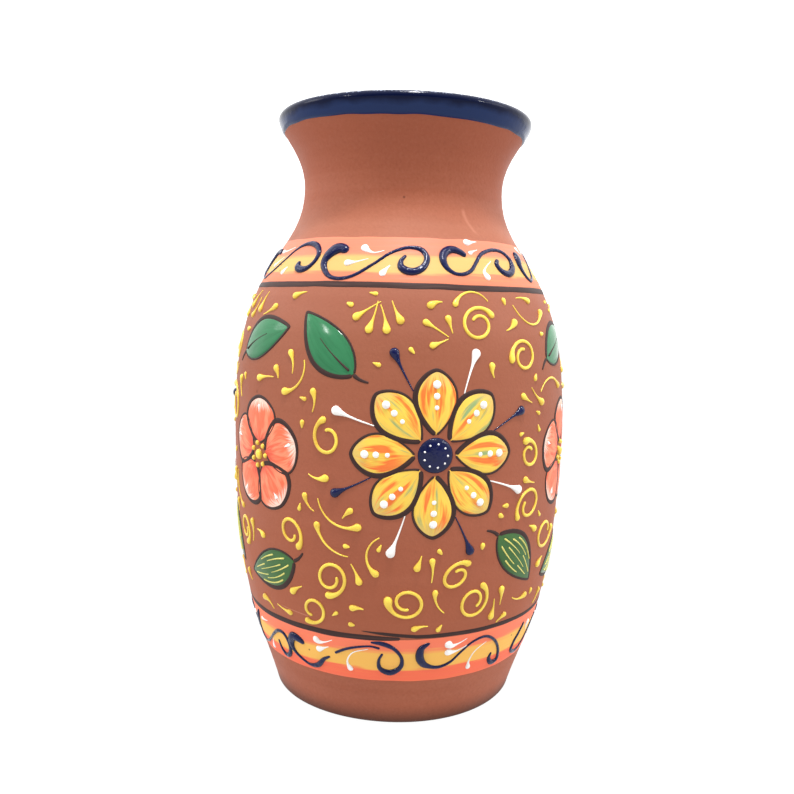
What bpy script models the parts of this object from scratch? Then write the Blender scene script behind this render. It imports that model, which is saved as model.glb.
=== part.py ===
"""Terracotta flower vase with a glazed lip, two painted borders and a trailed-slip design.

The clay body is one turned shell. Every coat on it is a thin solid of its own: the glazes, the painted
borders and their lines, and the raised slip that was trailed over them. The origin is the centre of the
foot on the table, +Z runs up the vase's axis, and the front of the design faces -Y.
"""

import math

import bmesh
import bpy
import numpy as np

# Clay body, in metres. Each rise runs from one named ring of the wall up to the next.
FOOT_RADIUS = 0.0510
FOOT_LEAN = math.radians(16.0)
FOOT_ROUNDING = 0.0022
BELLY_RISE = 0.1129
BELLY_RADIUS = 0.0699
SHOULDER_RISE = 0.0950
NECK_RADIUS = 0.0414
FLARE_RISE = 0.0265
LIP_RADIUS = 0.0520
LIP_LEAN = math.radians(7.0)
LIP_THICKNESS = 0.0036
WALL = 0.0055
FLOOR = 0.0080
FLOOR_FILLET = 0.0060

# Length of each handle of the wall's three curves, as a share of the rise that the curve spans.
FOOT_HANDLE = 0.24
BELLY_HANDLE_BELOW = 0.65
BELLY_HANDLE_ABOVE = 0.71
NECK_HANDLE_BELOW = 0.31
NECK_HANDLE_ABOVE = 0.50
LIP_HANDLE = 0.20

# Coats. Each one lies this clearance off what it covers.
CLEARANCE = 0.0003
RIM_GLAZE_THICKNESS = 0.0005
RIM_GLAZE_OUTSIDE = 0.0059
RIM_GLAZE_INSIDE = 0.0100
INNER_GLAZE_THICKNESS = 0.0004
BAND_THICKNESS = 0.0003
LINE_THICKNESS = 0.0003
LINE_WIDTH = 0.0018
UPPER_BAND_DROP = 0.0227
UPPER_BAND_HEIGHT = 0.0164
LOWER_BAND_RISE = 0.0204
LOWER_BAND_HEIGHT = 0.0178

# Trailed scrolls on the two borders.
SCROLL_COUNT = 8
UPPER_SCROLL_ANGLE = math.radians(-102.0)
LOWER_SCROLL_ANGLE = math.radians(-108.0)
SCROLL_SPACING = 0.0030
SCROLL_MARGIN = 0.0027
SCROLL_HEAD_WIDTH = 0.0032
SCROLL_THIN_WIDTH = 0.0014
SCROLL_TAIL_WIDTH = 0.0024
SCROLL_HEIGHT = 0.0009

# Heading of a scroll's line in degrees, at shares of its length. In between it turns evenly, so it is a
# chain of arcs: a hooked head, a long slanting middle and a curled tail.
SCROLL_HEADINGS = (
    (0.0, 115.0),
    (0.20, 297.0),
    (0.46, 395.0),
    (0.64, 372.0),
    (0.80, 240.0),
    (0.91, 150.0),
    (1.0, 25.0),
)
# Shares of its length where the line is as wide as its tail, head, middle, middle, tail and middle.
SCROLL_WIDTH_SHARES = (0.0, 0.10, 0.28, 0.62, 0.86, 1.0)

# Flower panel between the borders. Its design is drawn once and repeated round the belly.
REPEAT_COUNT = 3
PANEL_ANGLE = math.radians(-79.0)
DAHLIA_RADIUS = 0.0300
DAHLIA_PETALS = 8
DAHLIA_NOTCH = 0.20
ROSE_RADIUS = 0.0220
ROSE_PETALS = 5
ROSE_NOTCH = 0.22
LEAF_LENGTH = 0.0300
LEAF_WIDTH = 0.0150
LEAF_TIP_WIDTH = 0.0010
CURL_RADIUS = 0.0070
CURL_TURNS = 1.35
CURL_SHRINK = 0.55
CURL_HEAD_WIDTH = 0.0026
CURL_TAIL_WIDTH = 0.0014
CURL_HEIGHT = 0.0009
PAINT_EDGE = 0.0003
PAINT_CROWN = 0.0005

# Places in the panel: degrees round from the dahlia, share of the panel's height, tilt in degrees.
DAHLIA_PLACE = (0.0, 0.54)
ROSE_PLACE = (60.0, 0.50)
LEAF_PLACES = (
    (-33.5, 0.84, 135.0),
    (31.5, 0.21, -45.0),
    (58.0, 0.84, 20.0),
    (63.0, 0.16, 200.0),
)
CURL_PLACES = (
    (14.5, 0.90, 20.0),
    (32.0, 0.81, 200.0),
    (-7.0, 0.11, 160.0),
    (15.5, 0.10, 70.0),
    (-31.5, 0.17, 250.0),
)

# Facets.
TURN_STEPS = 48
FOOT_CURVE_STEPS = 9
SHOULDER_CURVE_STEPS = 10
FLARE_CURVE_STEPS = 5
ROUNDING_STEPS = 6
FILLET_STEPS = 3
BAND_STEPS = 3
LINE_STEPS = 1
GLAZE_STEPS = 2
TABLE_STEPS = 60
INNER_SKIP_STEPS = 2
SCROLL_STATIONS = 25
LEAF_STATIONS = 7
CURL_STATIONS = 16
PETAL_POINTS = {DAHLIA_PETALS: 4, ROSE_PETALS: 6}
PLATE_RINGS = 3

# Colour, roughness and metallic value of each finish.
FINISHES = {
    "terracotta": ((0.39, 0.125, 0.065, 1.0), 0.85, 0.0),
    "cobalt_glaze": ((0.012, 0.022, 0.105, 1.0), 0.12, 0.0),
    "clear_glaze": ((0.30, 0.085, 0.040, 1.0), 0.20, 0.0),
    "band_paint": ((0.83, 0.30, 0.14, 1.0), 0.55, 0.0),
    "line_paint": ((0.045, 0.027, 0.022, 1.0), 0.60, 0.0),
    "blue_slip": ((0.014, 0.020, 0.115, 1.0), 0.25, 0.0),
    "petal_paint": ((0.72, 0.40, 0.06, 1.0), 0.50, 0.0),
    "coral_paint": ((0.82, 0.20, 0.09, 1.0), 0.50, 0.0),
    "leaf_enamel": ((0.035, 0.18, 0.065, 1.0), 0.30, 0.0),
    "yellow_slip": ((0.80, 0.52, 0.035, 1.0), 0.30, 0.0),
}


# The wall's outline


def bezier(start, start_handle, end_handle, end, count):
    """Points of a cubic curve in the (radius, height) plane, both ends included."""
    t = np.linspace(0.0, 1.0, count)[:, None]
    corners = [np.array(corner) for corner in (start, start_handle, end_handle, end)]
    weights = ((1 - t) ** 3, 3 * t * (1 - t) ** 2, 3 * t * t * (1 - t), t**3)
    return sum(weight * corner for weight, corner in zip(weights, corners))


# Height where the wall meets the foot's rounding, which touches both the leaning wall and the table.
FOOT_HEIGHT = FOOT_ROUNDING * (1 - math.sin(FOOT_LEAN))
NECK_HEIGHT = FOOT_HEIGHT + BELLY_RISE + SHOULDER_RISE
LIP_HEIGHT = NECK_HEIGHT + FLARE_RISE


def outer_wall(foot_steps, shoulder_steps, flare_steps):
    """Outside of the wall from the foot's edge up to the lip's edge, as three joined curves."""
    foot_z, neck_z, lip_z = FOOT_HEIGHT, NECK_HEIGHT, LIP_HEIGHT
    belly_z = foot_z + BELLY_RISE
    foot_up = FOOT_HANDLE * BELLY_RISE
    lip_back = LIP_HANDLE * FLARE_RISE
    foot = bezier(
        (FOOT_RADIUS, foot_z),
        (FOOT_RADIUS + foot_up * math.sin(FOOT_LEAN), foot_z + foot_up * math.cos(FOOT_LEAN)),
        (BELLY_RADIUS, belly_z - BELLY_HANDLE_BELOW * BELLY_RISE),
        (BELLY_RADIUS, belly_z),
        foot_steps + 1,
    )
    shoulder = bezier(
        (BELLY_RADIUS, belly_z),
        (BELLY_RADIUS, belly_z + BELLY_HANDLE_ABOVE * SHOULDER_RISE),
        (NECK_RADIUS, neck_z - NECK_HANDLE_BELOW * SHOULDER_RISE),
        (NECK_RADIUS, neck_z),
        shoulder_steps + 1,
    )
    flare = bezier(
        (NECK_RADIUS, neck_z),
        (NECK_RADIUS, neck_z + NECK_HANDLE_ABOVE * FLARE_RISE),
        (LIP_RADIUS - lip_back * math.sin(LIP_LEAN), lip_z - lip_back * math.cos(LIP_LEAN)),
        (LIP_RADIUS, lip_z),
        flare_steps + 1,
    )
    return np.vstack([foot, shoulder[1:], flare[1:]])


def normals_of(outline):
    """Outward unit normals of an outline that runs up the wall, in the (radius, height) plane."""
    slope = np.gradient(outline, axis=0)
    across = np.column_stack([slope[:, 1], -slope[:, 0]])
    return across / np.linalg.norm(across, axis=1)[:, None]


WALL_TABLE = outer_wall(TABLE_STEPS, TABLE_STEPS, TABLE_STEPS)
WALL_NORMALS = normals_of(WALL_TABLE)


def wall_radius(z):
    """Outside radius of the clay at a height."""
    return np.interp(z, WALL_TABLE[:, 1], WALL_TABLE[:, 0])


def wall_normal(z):
    """(radial, vertical) parts of the wall's outward normal at a height."""
    radial = np.interp(z, WALL_TABLE[:, 1], WALL_NORMALS[:, 0])
    vertical = np.interp(z, WALL_TABLE[:, 1], WALL_NORMALS[:, 1])
    length = math.hypot(radial, vertical)
    return radial / length, vertical / length


def wall_thickness(z):
    """Thickness of the clay at a height: even up to the neck, then thinner towards the lip."""
    return np.interp(z, (NECK_HEIGHT, LIP_HEIGHT), (WALL, LIP_THICKNESS))


def coat_outline(heights, lift):
    """(radius, height) points that stand a lift off the wall at these heights."""
    points = []
    for z in heights:
        radial, vertical = wall_normal(z)
        points.append((wall_radius(z) + lift * radial, z + lift * vertical))
    return points


def inner_outline(heights, inset):
    """(radius, height) points inside the clay at these heights of its outside, an inset off it."""
    return [point for z in heights for point in coat_outline([z], -wall_thickness(z) - inset)]


def arc(centre, radius, start, end, steps):
    """Points of a circle's arc between two angles, both ends included."""
    angles = np.linspace(start, end, steps + 1)
    return [(centre[0] + radius * math.cos(a), centre[1] + radius * math.sin(a)) for a in angles]


def lip_centre():
    """Centre of the round that ends the wall at the lip."""
    return (
        LIP_RADIUS - LIP_THICKNESS / 2 * math.cos(LIP_LEAN),
        LIP_HEIGHT + LIP_THICKNESS / 2 * math.sin(LIP_LEAN),
    )


def lip_round(radius):
    """The lip's half circle from its outer edge over the top to its inner edge."""
    return arc(lip_centre(), radius, -LIP_LEAN, math.pi - LIP_LEAN, ROUNDING_STEPS)


def inner_side(inset, top):
    """Inside of the vase from a height of the wall down to the floor's middle, an inset in from the clay."""
    floor_z = FLOOR + inset
    fillet = FLOOR_FILLET - inset
    corner_z = floor_z + fillet
    stations = outer_wall(FOOT_CURVE_STEPS, SHOULDER_CURVE_STEPS, FLARE_CURVE_STEPS)[::-INNER_SKIP_STEPS, 1]
    heights = [top] + [z for z in stations if corner_z + fillet < z < top - WALL]
    ((corner_radius, _),) = inner_outline([corner_z], inset)
    floor = arc((corner_radius - fillet, corner_z), fillet, 0.0, -math.pi / 2, FILLET_STEPS)
    return inner_outline(heights, inset) + floor + [(0.0, floor_z)]


def inner_lip(inset, lowest):
    """Inside of the flare from the lip's inner edge down to a height, an inset in from the clay."""
    heights = np.linspace(LIP_HEIGHT, lowest, GLAZE_STEPS + 1)
    return inner_outline(heights, inset)


# Blender helpers


def clear_scene():
    """Removes everything that the scene holds."""
    for thing in list(bpy.data.objects):
        bpy.data.objects.remove(thing, do_unlink=True)


def finish_material(name):
    """Principled material of one finish, made once."""
    material = bpy.data.materials.get(name)
    if material is None:
        colour, roughness, metallic = FINISHES[name]
        material = bpy.data.materials.new(name)
        material.use_nodes = True
        shader = material.node_tree.nodes["Principled BSDF"]
        shader.inputs["Base Color"].default_value = colour
        shader.inputs["Roughness"].default_value = roughness
        shader.inputs["Metallic"].default_value = metallic
        material.diffuse_color = colour
    return material


def add_object(name, mesh, finish, turn=0.0):
    """Puts a mesh into the scene, turned about the vase's axis and parented to it."""
    if not mesh.materials:
        mesh.materials.append(finish_material(finish))
    thing = bpy.data.objects.new(name, mesh)
    thing.rotation_euler.z = turn
    thing.parent = AXIS
    bpy.context.scene.collection.objects.link(thing)
    return thing


def turned(name, outline, finish, closed):
    """A solid turned about Z from an outline that runs up the inside and down the outside."""
    mesh = bpy.data.meshes.new(name)
    points = [(radius, 0.0, z) for radius, z in outline]
    edges = [(i, i + 1) for i in range(len(points) - 1)]
    if closed:
        edges.append((len(points) - 1, 0))
    mesh.from_pydata(points, edges, [])
    thing = add_object(name, mesh, finish)
    screw = thing.modifiers.new("Turn", "SCREW")
    screw.axis = "Z"
    screw.angle = math.tau
    screw.steps = TURN_STEPS
    screw.render_steps = TURN_STEPS
    screw.use_merge_vertices = True
    screw.merge_threshold = 0.00001
    return thing


def on_wall(angle, z, lift):
    """Point that stands a lift off the wall at an angle round the axis and a height."""
    ((radius, height),) = coat_outline([z], lift)
    return (radius * math.cos(angle), radius * math.sin(angle), height)


def closed_mesh(name, points, faces):
    """Mesh of a closed solid, with its faces turned outwards and its round sides smooth."""
    build = bmesh.new()
    corners = [build.verts.new(point) for point in points]
    for face in faces:
        build.faces.new([corners[i] for i in face])
    bmesh.ops.recalc_face_normals(build, faces=build.faces)
    mesh = bpy.data.meshes.new(name)
    build.to_mesh(mesh)
    build.free()
    mesh.shade_smooth()
    mesh.set_sharp_from_angle(angle=math.radians(40))
    return mesh


def sweep_faces(stations, sides):
    """Faces of a tube of equal sections, with both ends closed."""
    faces = [tuple(range(sides)), tuple(range((stations - 1) * sides, stations * sides))]
    for station in range(stations - 1):
        for side in range(sides):
            after = (side + 1) % sides
            low, high = station * sides, (station + 1) * sides
            faces.append((low + side, low + after, high + after, high + side))
    return faces


# Turned pieces


def build_body():
    """The clay shell: floor, inside, lip, outside and foot."""
    outside = outer_wall(FOOT_CURVE_STEPS, SHOULDER_CURVE_STEPS, FLARE_CURVE_STEPS)[::-1]
    lip = lip_round(LIP_THICKNESS / 2)[::-1]
    flare = inner_lip(0.0, LIP_HEIGHT - RIM_GLAZE_INSIDE)[1:-1]
    foot_corner = (FOOT_RADIUS - FOOT_ROUNDING * math.cos(FOOT_LEAN), FOOT_ROUNDING)
    foot = arc(foot_corner, FOOT_ROUNDING, -FOOT_LEAN, -math.pi / 2, FILLET_STEPS)
    inside = inner_side(0.0, LIP_HEIGHT - RIM_GLAZE_INSIDE)[::-1] + flare[::-1]
    outline = inside + lip + [tuple(point) for point in outside[1:]] + foot[1:] + [(0.0, 0.0)]
    return turned("vase_body", outline, "terracotta", closed=False)


def build_rim_glaze():
    """Cobalt glaze folded over the lip."""
    outside_heights = np.linspace(LIP_HEIGHT - RIM_GLAZE_OUTSIDE, LIP_HEIGHT, GLAZE_STEPS + 1)[:-1]
    lowest = LIP_HEIGHT - RIM_GLAZE_INSIDE
    near, far = CLEARANCE, CLEARANCE + RIM_GLAZE_THICKNESS
    skins = []
    for lift in (near, far):
        over = coat_outline(outside_heights, lift) + lip_round(LIP_THICKNESS / 2 + lift)
        skins.append(over + inner_lip(lift, lowest)[1:])
    return turned("rim_glaze", skins[1][::-1] + skins[0], "cobalt_glaze", closed=True)


def build_inner_glaze():
    """Clear glaze that seals the porous clay, from under the rim glaze to the floor."""
    top = LIP_HEIGHT - RIM_GLAZE_INSIDE - CLEARANCE
    outer = inner_side(CLEARANCE, top)
    inner = inner_side(CLEARANCE + INNER_GLAZE_THICKNESS, top)
    return turned("inner_glaze", inner[::-1] + outer, "clear_glaze", closed=False)


def build_coat_ring(name, low, high, thickness, steps, finish):
    """A painted ring round the outside of the wall between two heights."""
    heights = np.linspace(low, high, steps + 1)
    near = coat_outline(heights, CLEARANCE)
    far = coat_outline(heights, CLEARANCE + thickness)
    return turned(name, near + far[::-1], finish, closed=True)


# Trailed and painted pieces


def trail(name, route, widths, height, lift):
    """A bead of slip along a route of (angle, z) points, with a low flat-topped section."""
    centres = np.array([on_wall(angle, z, lift) for angle, z in route])
    along = np.gradient(centres, axis=0)
    points = []
    for (angle, z), centre, forward, width in zip(route, centres, along, widths):
        radial, vertical = wall_normal(z)
        up = np.array([radial * math.cos(angle), radial * math.sin(angle), vertical])
        side = np.cross(up, forward)
        side /= np.linalg.norm(side)
        for across, rise in ((-0.5, 0.0), (-0.25, height), (0.25, height), (0.5, 0.0)):
            points.append(centre + across * width * side + rise * up)
    return closed_mesh(name, points, sweep_faces(len(route), 4))


def scroll_route(low, high):
    """(angle, z) points and widths of one S scroll that fills its share of a border.

    Its line is followed step by step along its headings, and stretched to the room that it has.
    """
    share = np.linspace(0.0, 1.0, 16 * SCROLL_STATIONS)
    heading = np.radians(np.interp(share, *zip(*SCROLL_HEADINGS)))
    line = np.column_stack([np.cumsum(np.cos(heading)), np.cumsum(np.sin(heading))])
    line -= line.min(axis=0)
    line /= line.max(axis=0)
    picked = np.linspace(0, len(line) - 1, SCROLL_STATIONS).astype(int)
    middle_radius = wall_radius((low + high) / 2)
    pitch = math.tau / SCROLL_COUNT
    length = pitch - (SCROLL_SPACING + SCROLL_HEAD_WIDTH) / middle_radius
    room = high - low - 2 * SCROLL_MARGIN
    route = [((u - 0.5) * length, low + SCROLL_MARGIN + v * room) for u, v in line[picked]]
    head, middle, tail = SCROLL_HEAD_WIDTH, SCROLL_THIN_WIDTH, SCROLL_TAIL_WIDTH
    widths = np.interp(share[picked], SCROLL_WIDTH_SHARES, (tail, head, middle, middle, tail, middle))
    return route, widths


def curl_route(radius):
    """(across, up) points and widths of one curl: a spiral that closes in as it turns."""
    share = np.linspace(0.0, 1.0, CURL_STATIONS)
    turn = math.tau * CURL_TURNS * share
    reach = radius * (1 - CURL_SHRINK * share)
    widths = CURL_HEAD_WIDTH + (CURL_TAIL_WIDTH - CURL_HEAD_WIDTH) * share
    return np.column_stack([reach * np.cos(turn), reach * np.sin(turn)]), widths


def panel_place(degrees, share, low, high):
    """(angle, z) of a place in the panel."""
    return math.radians(degrees), low + share * (high - low)


def drawn_at(place, tilt, drawing):
    """(angle, z) points of a flat drawing laid on the wall at a place, turned by a tilt."""
    angle, z = place
    turn = np.array([[math.cos(tilt), -math.sin(tilt)], [math.sin(tilt), math.cos(tilt)]])
    route = []
    for across, up in np.asarray(drawing) @ turn.T:
        route.append((angle + across / wall_radius(z + up), z + up))
    return route


def petal_plate(name, place, radius, petals, notch):
    """A flower as one crowned plate whose edge dips between its petals."""
    count = petals * PETAL_POINTS[petals]
    angles = np.linspace(0.0, math.tau, count, endpoint=False)
    edge = radius * (1 - notch + notch * np.abs(np.cos(petals / 2 * angles)))
    rings = np.linspace(0.0, 1.0, PLATE_RINGS + 1)[1:]
    points = []
    for top in (False, True):
        drawing = [(0.0, 0.0)]
        for ring in rings:
            drawing += [(ring * e * math.cos(a), ring * e * math.sin(a)) for e, a in zip(edge, angles)]
        crown = [PAINT_CROWN] + [PAINT_CROWN * (1 - ring * ring) for ring in rings for _ in angles]
        for (angle, z), rise in zip(drawn_at(place, 0.0, drawing), crown):
            points.append(on_wall(angle, z, CLEARANCE + (PAINT_EDGE + rise if top else 0.0)))
    side = 1 + count * PLATE_RINGS
    faces = []
    for first in (0, side):
        for i in range(count):
            after = (i + 1) % count
            faces.append((first, first + 1 + i, first + 1 + after))
            for ring in range(PLATE_RINGS - 1):
                low = first + 1 + ring * count
                faces.append((low + i, low + count + i, low + count + after, low + after))
    rim = 1 + count * (PLATE_RINGS - 1)
    for i in range(count):
        after = (i + 1) % count
        faces.append((rim + i, rim + after, side + rim + after, side + rim + i))
    return closed_mesh(name, points, faces)


def leaf_plate(name, place, tilt):
    """A pointed leaf as one plate with a low ridge down its middle."""
    share = np.linspace(0.0, 1.0, LEAF_STATIONS)
    half = LEAF_TIP_WIDTH / 2 + (LEAF_WIDTH - LEAF_TIP_WIDTH) / 2 * np.sin(math.pi * share**0.8)
    section = (
        (-1.0, 0.0),
        (-1.0, PAINT_EDGE),
        (0.0, PAINT_EDGE + PAINT_CROWN),
        (1.0, PAINT_EDGE),
        (1.0, 0.0),
        (0.0, 0.0),
    )
    points = []
    for along, width in zip((share - 0.5) * LEAF_LENGTH, half):
        drawing = [(along, across * width) for across, _ in section]
        for (angle, z), (_, rise) in zip(drawn_at(place, tilt, drawing), section):
            points.append(on_wall(angle, z, CLEARANCE + rise))
    return closed_mesh(name, points, sweep_faces(LEAF_STATIONS, len(section)))


# Assembly


def build_border(name, low, high, first_angle):
    """One border: its painted band and the scrolls trailed round it."""
    build_coat_ring(f"{name}_band", low, high, BAND_THICKNESS, BAND_STEPS, "band_paint")
    route, widths = scroll_route(low, high)
    lift = 2 * CLEARANCE + BAND_THICKNESS
    mesh = trail(f"{name}_scroll", route, widths, SCROLL_HEIGHT, lift)
    for i in range(SCROLL_COUNT):
        turn = first_angle + math.tau * i / SCROLL_COUNT
        add_object(f"{name}_scroll_{i + 1}", mesh, "blue_slip", turn)


def build_panel(low, high):
    """The flower panel: each drawn piece once, then a copy for every repeat."""
    dahlia = petal_plate(
        "dahlia", panel_place(*DAHLIA_PLACE, low, high), DAHLIA_RADIUS, DAHLIA_PETALS, DAHLIA_NOTCH
    )
    rose = petal_plate("rose", panel_place(*ROSE_PLACE, low, high), ROSE_RADIUS, ROSE_PETALS, ROSE_NOTCH)
    pieces = [("dahlia", dahlia, "petal_paint"), ("rose", rose, "coral_paint")]
    for degrees, share, tilt in LEAF_PLACES:
        place = panel_place(degrees, share, low, high)
        pieces.append(("leaf", leaf_plate("leaf", place, math.radians(tilt)), "leaf_enamel"))
    drawing, widths = curl_route(CURL_RADIUS)
    for degrees, share, tilt in CURL_PLACES:
        place = panel_place(degrees, share, low, high)
        route = drawn_at(place, math.radians(tilt), drawing)
        mesh = trail("curl", route, widths, CURL_HEIGHT, CLEARANCE)
        pieces.append(("curl", mesh, "yellow_slip"))
    counts = {}
    for repeat in range(REPEAT_COUNT):
        turn = PANEL_ANGLE + math.tau * repeat / REPEAT_COUNT
        for kind, mesh, finish in pieces:
            counts[kind] = counts.get(kind, 0) + 1
            add_object(f"{kind}_{counts[kind]}", mesh, finish, turn)


def build_vase():
    """Every piece of the vase, from the clay outwards."""
    build_body()
    build_inner_glaze()
    build_rim_glaze()
    upper_high = NECK_HEIGHT - UPPER_BAND_DROP
    upper_low = upper_high - UPPER_BAND_HEIGHT
    lower_low = LOWER_BAND_RISE
    lower_high = lower_low + LOWER_BAND_HEIGHT
    build_border("upper", upper_low, upper_high, UPPER_SCROLL_ANGLE)
    build_border("lower", lower_low, lower_high, LOWER_SCROLL_ANGLE)
    line_high = upper_low - CLEARANCE
    panel_high = line_high - LINE_WIDTH
    line_low = lower_high + CLEARANCE
    panel_low = line_low + LINE_WIDTH
    build_coat_ring("upper_line", panel_high, line_high, LINE_THICKNESS, LINE_STEPS, "line_paint")
    build_coat_ring("lower_line", line_low, panel_low, LINE_THICKNESS, LINE_STEPS, "line_paint")
    build_panel(panel_low, panel_high)


clear_scene()
AXIS = bpy.data.objects.new("vase_axis", None)
bpy.context.scene.collection.objects.link(AXIS)
build_vase()
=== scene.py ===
"""Looks of the terracotta flower vase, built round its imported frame.

The clay is one smooth turned shell. The glazes, painted bands and lines are thin closed coats on it, and
the scrolls, drops, curls, petals and leaves are raised beads and pads that follow the wall. Every new piece
is a stack of rings: sections carried along a path, worked out as whole arrays. Lengths are in metres.
"""

import logging
import math
from collections.abc import Sequence
from dataclasses import dataclass
from enum import Enum
from functools import cached_property

import bpy
import numpy as np
from mathutils import Matrix


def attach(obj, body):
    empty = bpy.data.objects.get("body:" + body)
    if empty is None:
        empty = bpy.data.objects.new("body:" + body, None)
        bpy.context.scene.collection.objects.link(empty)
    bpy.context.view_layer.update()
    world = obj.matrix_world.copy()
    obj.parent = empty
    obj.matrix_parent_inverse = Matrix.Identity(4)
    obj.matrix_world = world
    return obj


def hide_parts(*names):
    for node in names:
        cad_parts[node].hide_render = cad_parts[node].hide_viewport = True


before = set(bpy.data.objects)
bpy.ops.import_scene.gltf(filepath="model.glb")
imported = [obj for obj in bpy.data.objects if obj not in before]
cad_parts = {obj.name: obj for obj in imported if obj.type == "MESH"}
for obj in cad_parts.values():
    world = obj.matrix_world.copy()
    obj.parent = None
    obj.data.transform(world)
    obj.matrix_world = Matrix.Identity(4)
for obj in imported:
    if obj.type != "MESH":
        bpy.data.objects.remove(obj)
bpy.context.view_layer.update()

Array = np.ndarray
Tone = tuple[float, float, float, float]
Spot = tuple[float, float]
Triple = tuple[float, float, float]
Material = bpy.types.Material
Piece = bpy.types.Object
Socket = bpy.types.NodeSocket
Stop = tuple[float, Tone]

LOG = logging.getLogger("vase")
ROOT = "root"
# Depth to which the undersides of coats and beads are sunk in the clay.
SINK = 0.00016
CENTIMETRE = 0.01
HUNDREDTHS = 100


def tone(red: int, green: int, blue: int) -> Tone:
    """Linear colour of an everyday 0 to 255 colour.

    Args:
        red: red part.
        green: green part.
        blue: blue part.

    Returns:
        The colour as a shader takes it, with full alpha.
    """
    parts = np.array([red, green, blue]) / 255.0
    linear = np.where(parts <= 0.04045, parts / 12.92, ((parts + 0.055) / 1.055) ** 2.4)
    return (*(float(part) for part in linear), 1.0)


class Border(Enum):
    """The two painted borders."""

    UPPER = "upper"
    LOWER = "lower"


class Ornament(Enum):
    """Kinds of yellow ornament that fill the panel, largest first.

    Each value says how often one is tried, and between which shares of the panel's height.
    """

    LOOP = (600, 0.0, 0.66)
    TENDRIL = (700, 0.10, 1.0)
    SPRAY = (900, 0.20, 1.0)
    COMMA = (1500, 0.0, 1.0)
    DOT = (900, 0.0, 1.0)


# Shapes


@dataclass
class Shell:
    """One closed surface, or several in one mesh.

    Args:
        points: places of the points.
        quads: point numbers of each four-sided face.
        caps: point numbers of each end face.
        chart: two surface coordinates of each point, kept as the mesh's UV map.
    """

    points: Array
    quads: Array
    caps: list[Array]
    chart: Array

    @classmethod
    def loft(cls, rings: Array, chart: Array, closed: bool = False) -> "Shell":
        """Skins a stack of closed rings, point k of each ring joined to point k of the next.

        Args:
            rings: places, by ring, by point round the ring, by axis.
            chart: surface coordinates, by ring and point.
            closed: whether the last ring joins the first; if not, both ends get a face.

        Returns:
            The closed surface, with its faces outwards.
        """
        count, around, _ = rings.shape
        index = np.arange(count * around).reshape(count, around)
        low = index if closed else index[:-1]
        high = np.roll(index, -1, axis=0) if closed else index[1:]
        quads = np.stack([low, np.roll(low, -1, 1), np.roll(high, -1, 1), high], axis=-1).reshape(-1, 4)
        caps = [] if closed else [index[0, ::-1], index[-1]]
        shell = cls(rings.reshape(-1, 3), quads, caps, chart.reshape(-1, 2))
        return shell if shell.volume() > 0 else shell.flipped()

    @classmethod
    def join(cls, shells: list["Shell"]) -> "Shell":
        """Several shells as one, which stay apart as islands.

        Args:
            shells: the shells.

        Returns:
            One shell, with each one's point numbers moved past those before it.
        """
        starts = np.cumsum([0] + [len(shell.points) for shell in shells[:-1]])
        caps = [cap + start for shell, start in zip(shells, starts) for cap in shell.caps]
        return cls(
            np.concatenate([shell.points for shell in shells]),
            np.concatenate([shell.quads + start for shell, start in zip(shells, starts)]),
            caps,
            np.concatenate([shell.chart for shell in shells]),
        )

    def flipped(self) -> "Shell":
        """The same surface with every face turned round."""
        return Shell(self.points, self.quads[:, ::-1], [cap[::-1] for cap in self.caps], self.chart)

    def volume(self) -> float:
        """Six times the volume that the faces enclose.

        Returns:
            The sum of the triple products of the faces' corners, as seen from the points' middle.
        """
        centre = self.points.mean(axis=0)
        a, b, c, d = (self.points[self.quads[:, k]] - centre for k in range(4))
        total = np.einsum("ij,ij->", a, np.cross(b, c)) + np.einsum("ij,ij->", a, np.cross(c, d))
        for cap in self.caps:
            rim = self.points[cap] - centre
            fan = np.cross(rim, np.roll(rim, -1, axis=0)).sum(axis=0)
            total += float(rim.mean(axis=0) @ fan)
        return float(total)

    def piece(self, name: str, material: Material) -> Piece:
        """Puts the surface into the scene as a smooth mesh with its chart as UVs.

        Args:
            name: the object's name.
            material: the finish that it wears.

        Returns:
            The new object, at the origin.
        """
        mesh = bpy.data.meshes.new(name)
        faces = self.quads.tolist() + [cap.tolist() for cap in self.caps]
        mesh.from_pydata(self.points.tolist(), [], faces, shade_flat=False)
        corners = np.concatenate([self.quads.ravel(), *self.caps])
        uv = mesh.uv_layers.new(name="chart")
        uv.data.foreach_set("uv", self.chart[corners].astype(np.float32).ravel())
        mesh.validate()
        mesh.materials.append(material)
        made = bpy.data.objects.new(name, mesh)
        bpy.context.scene.collection.objects.link(made)
        return made


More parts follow.
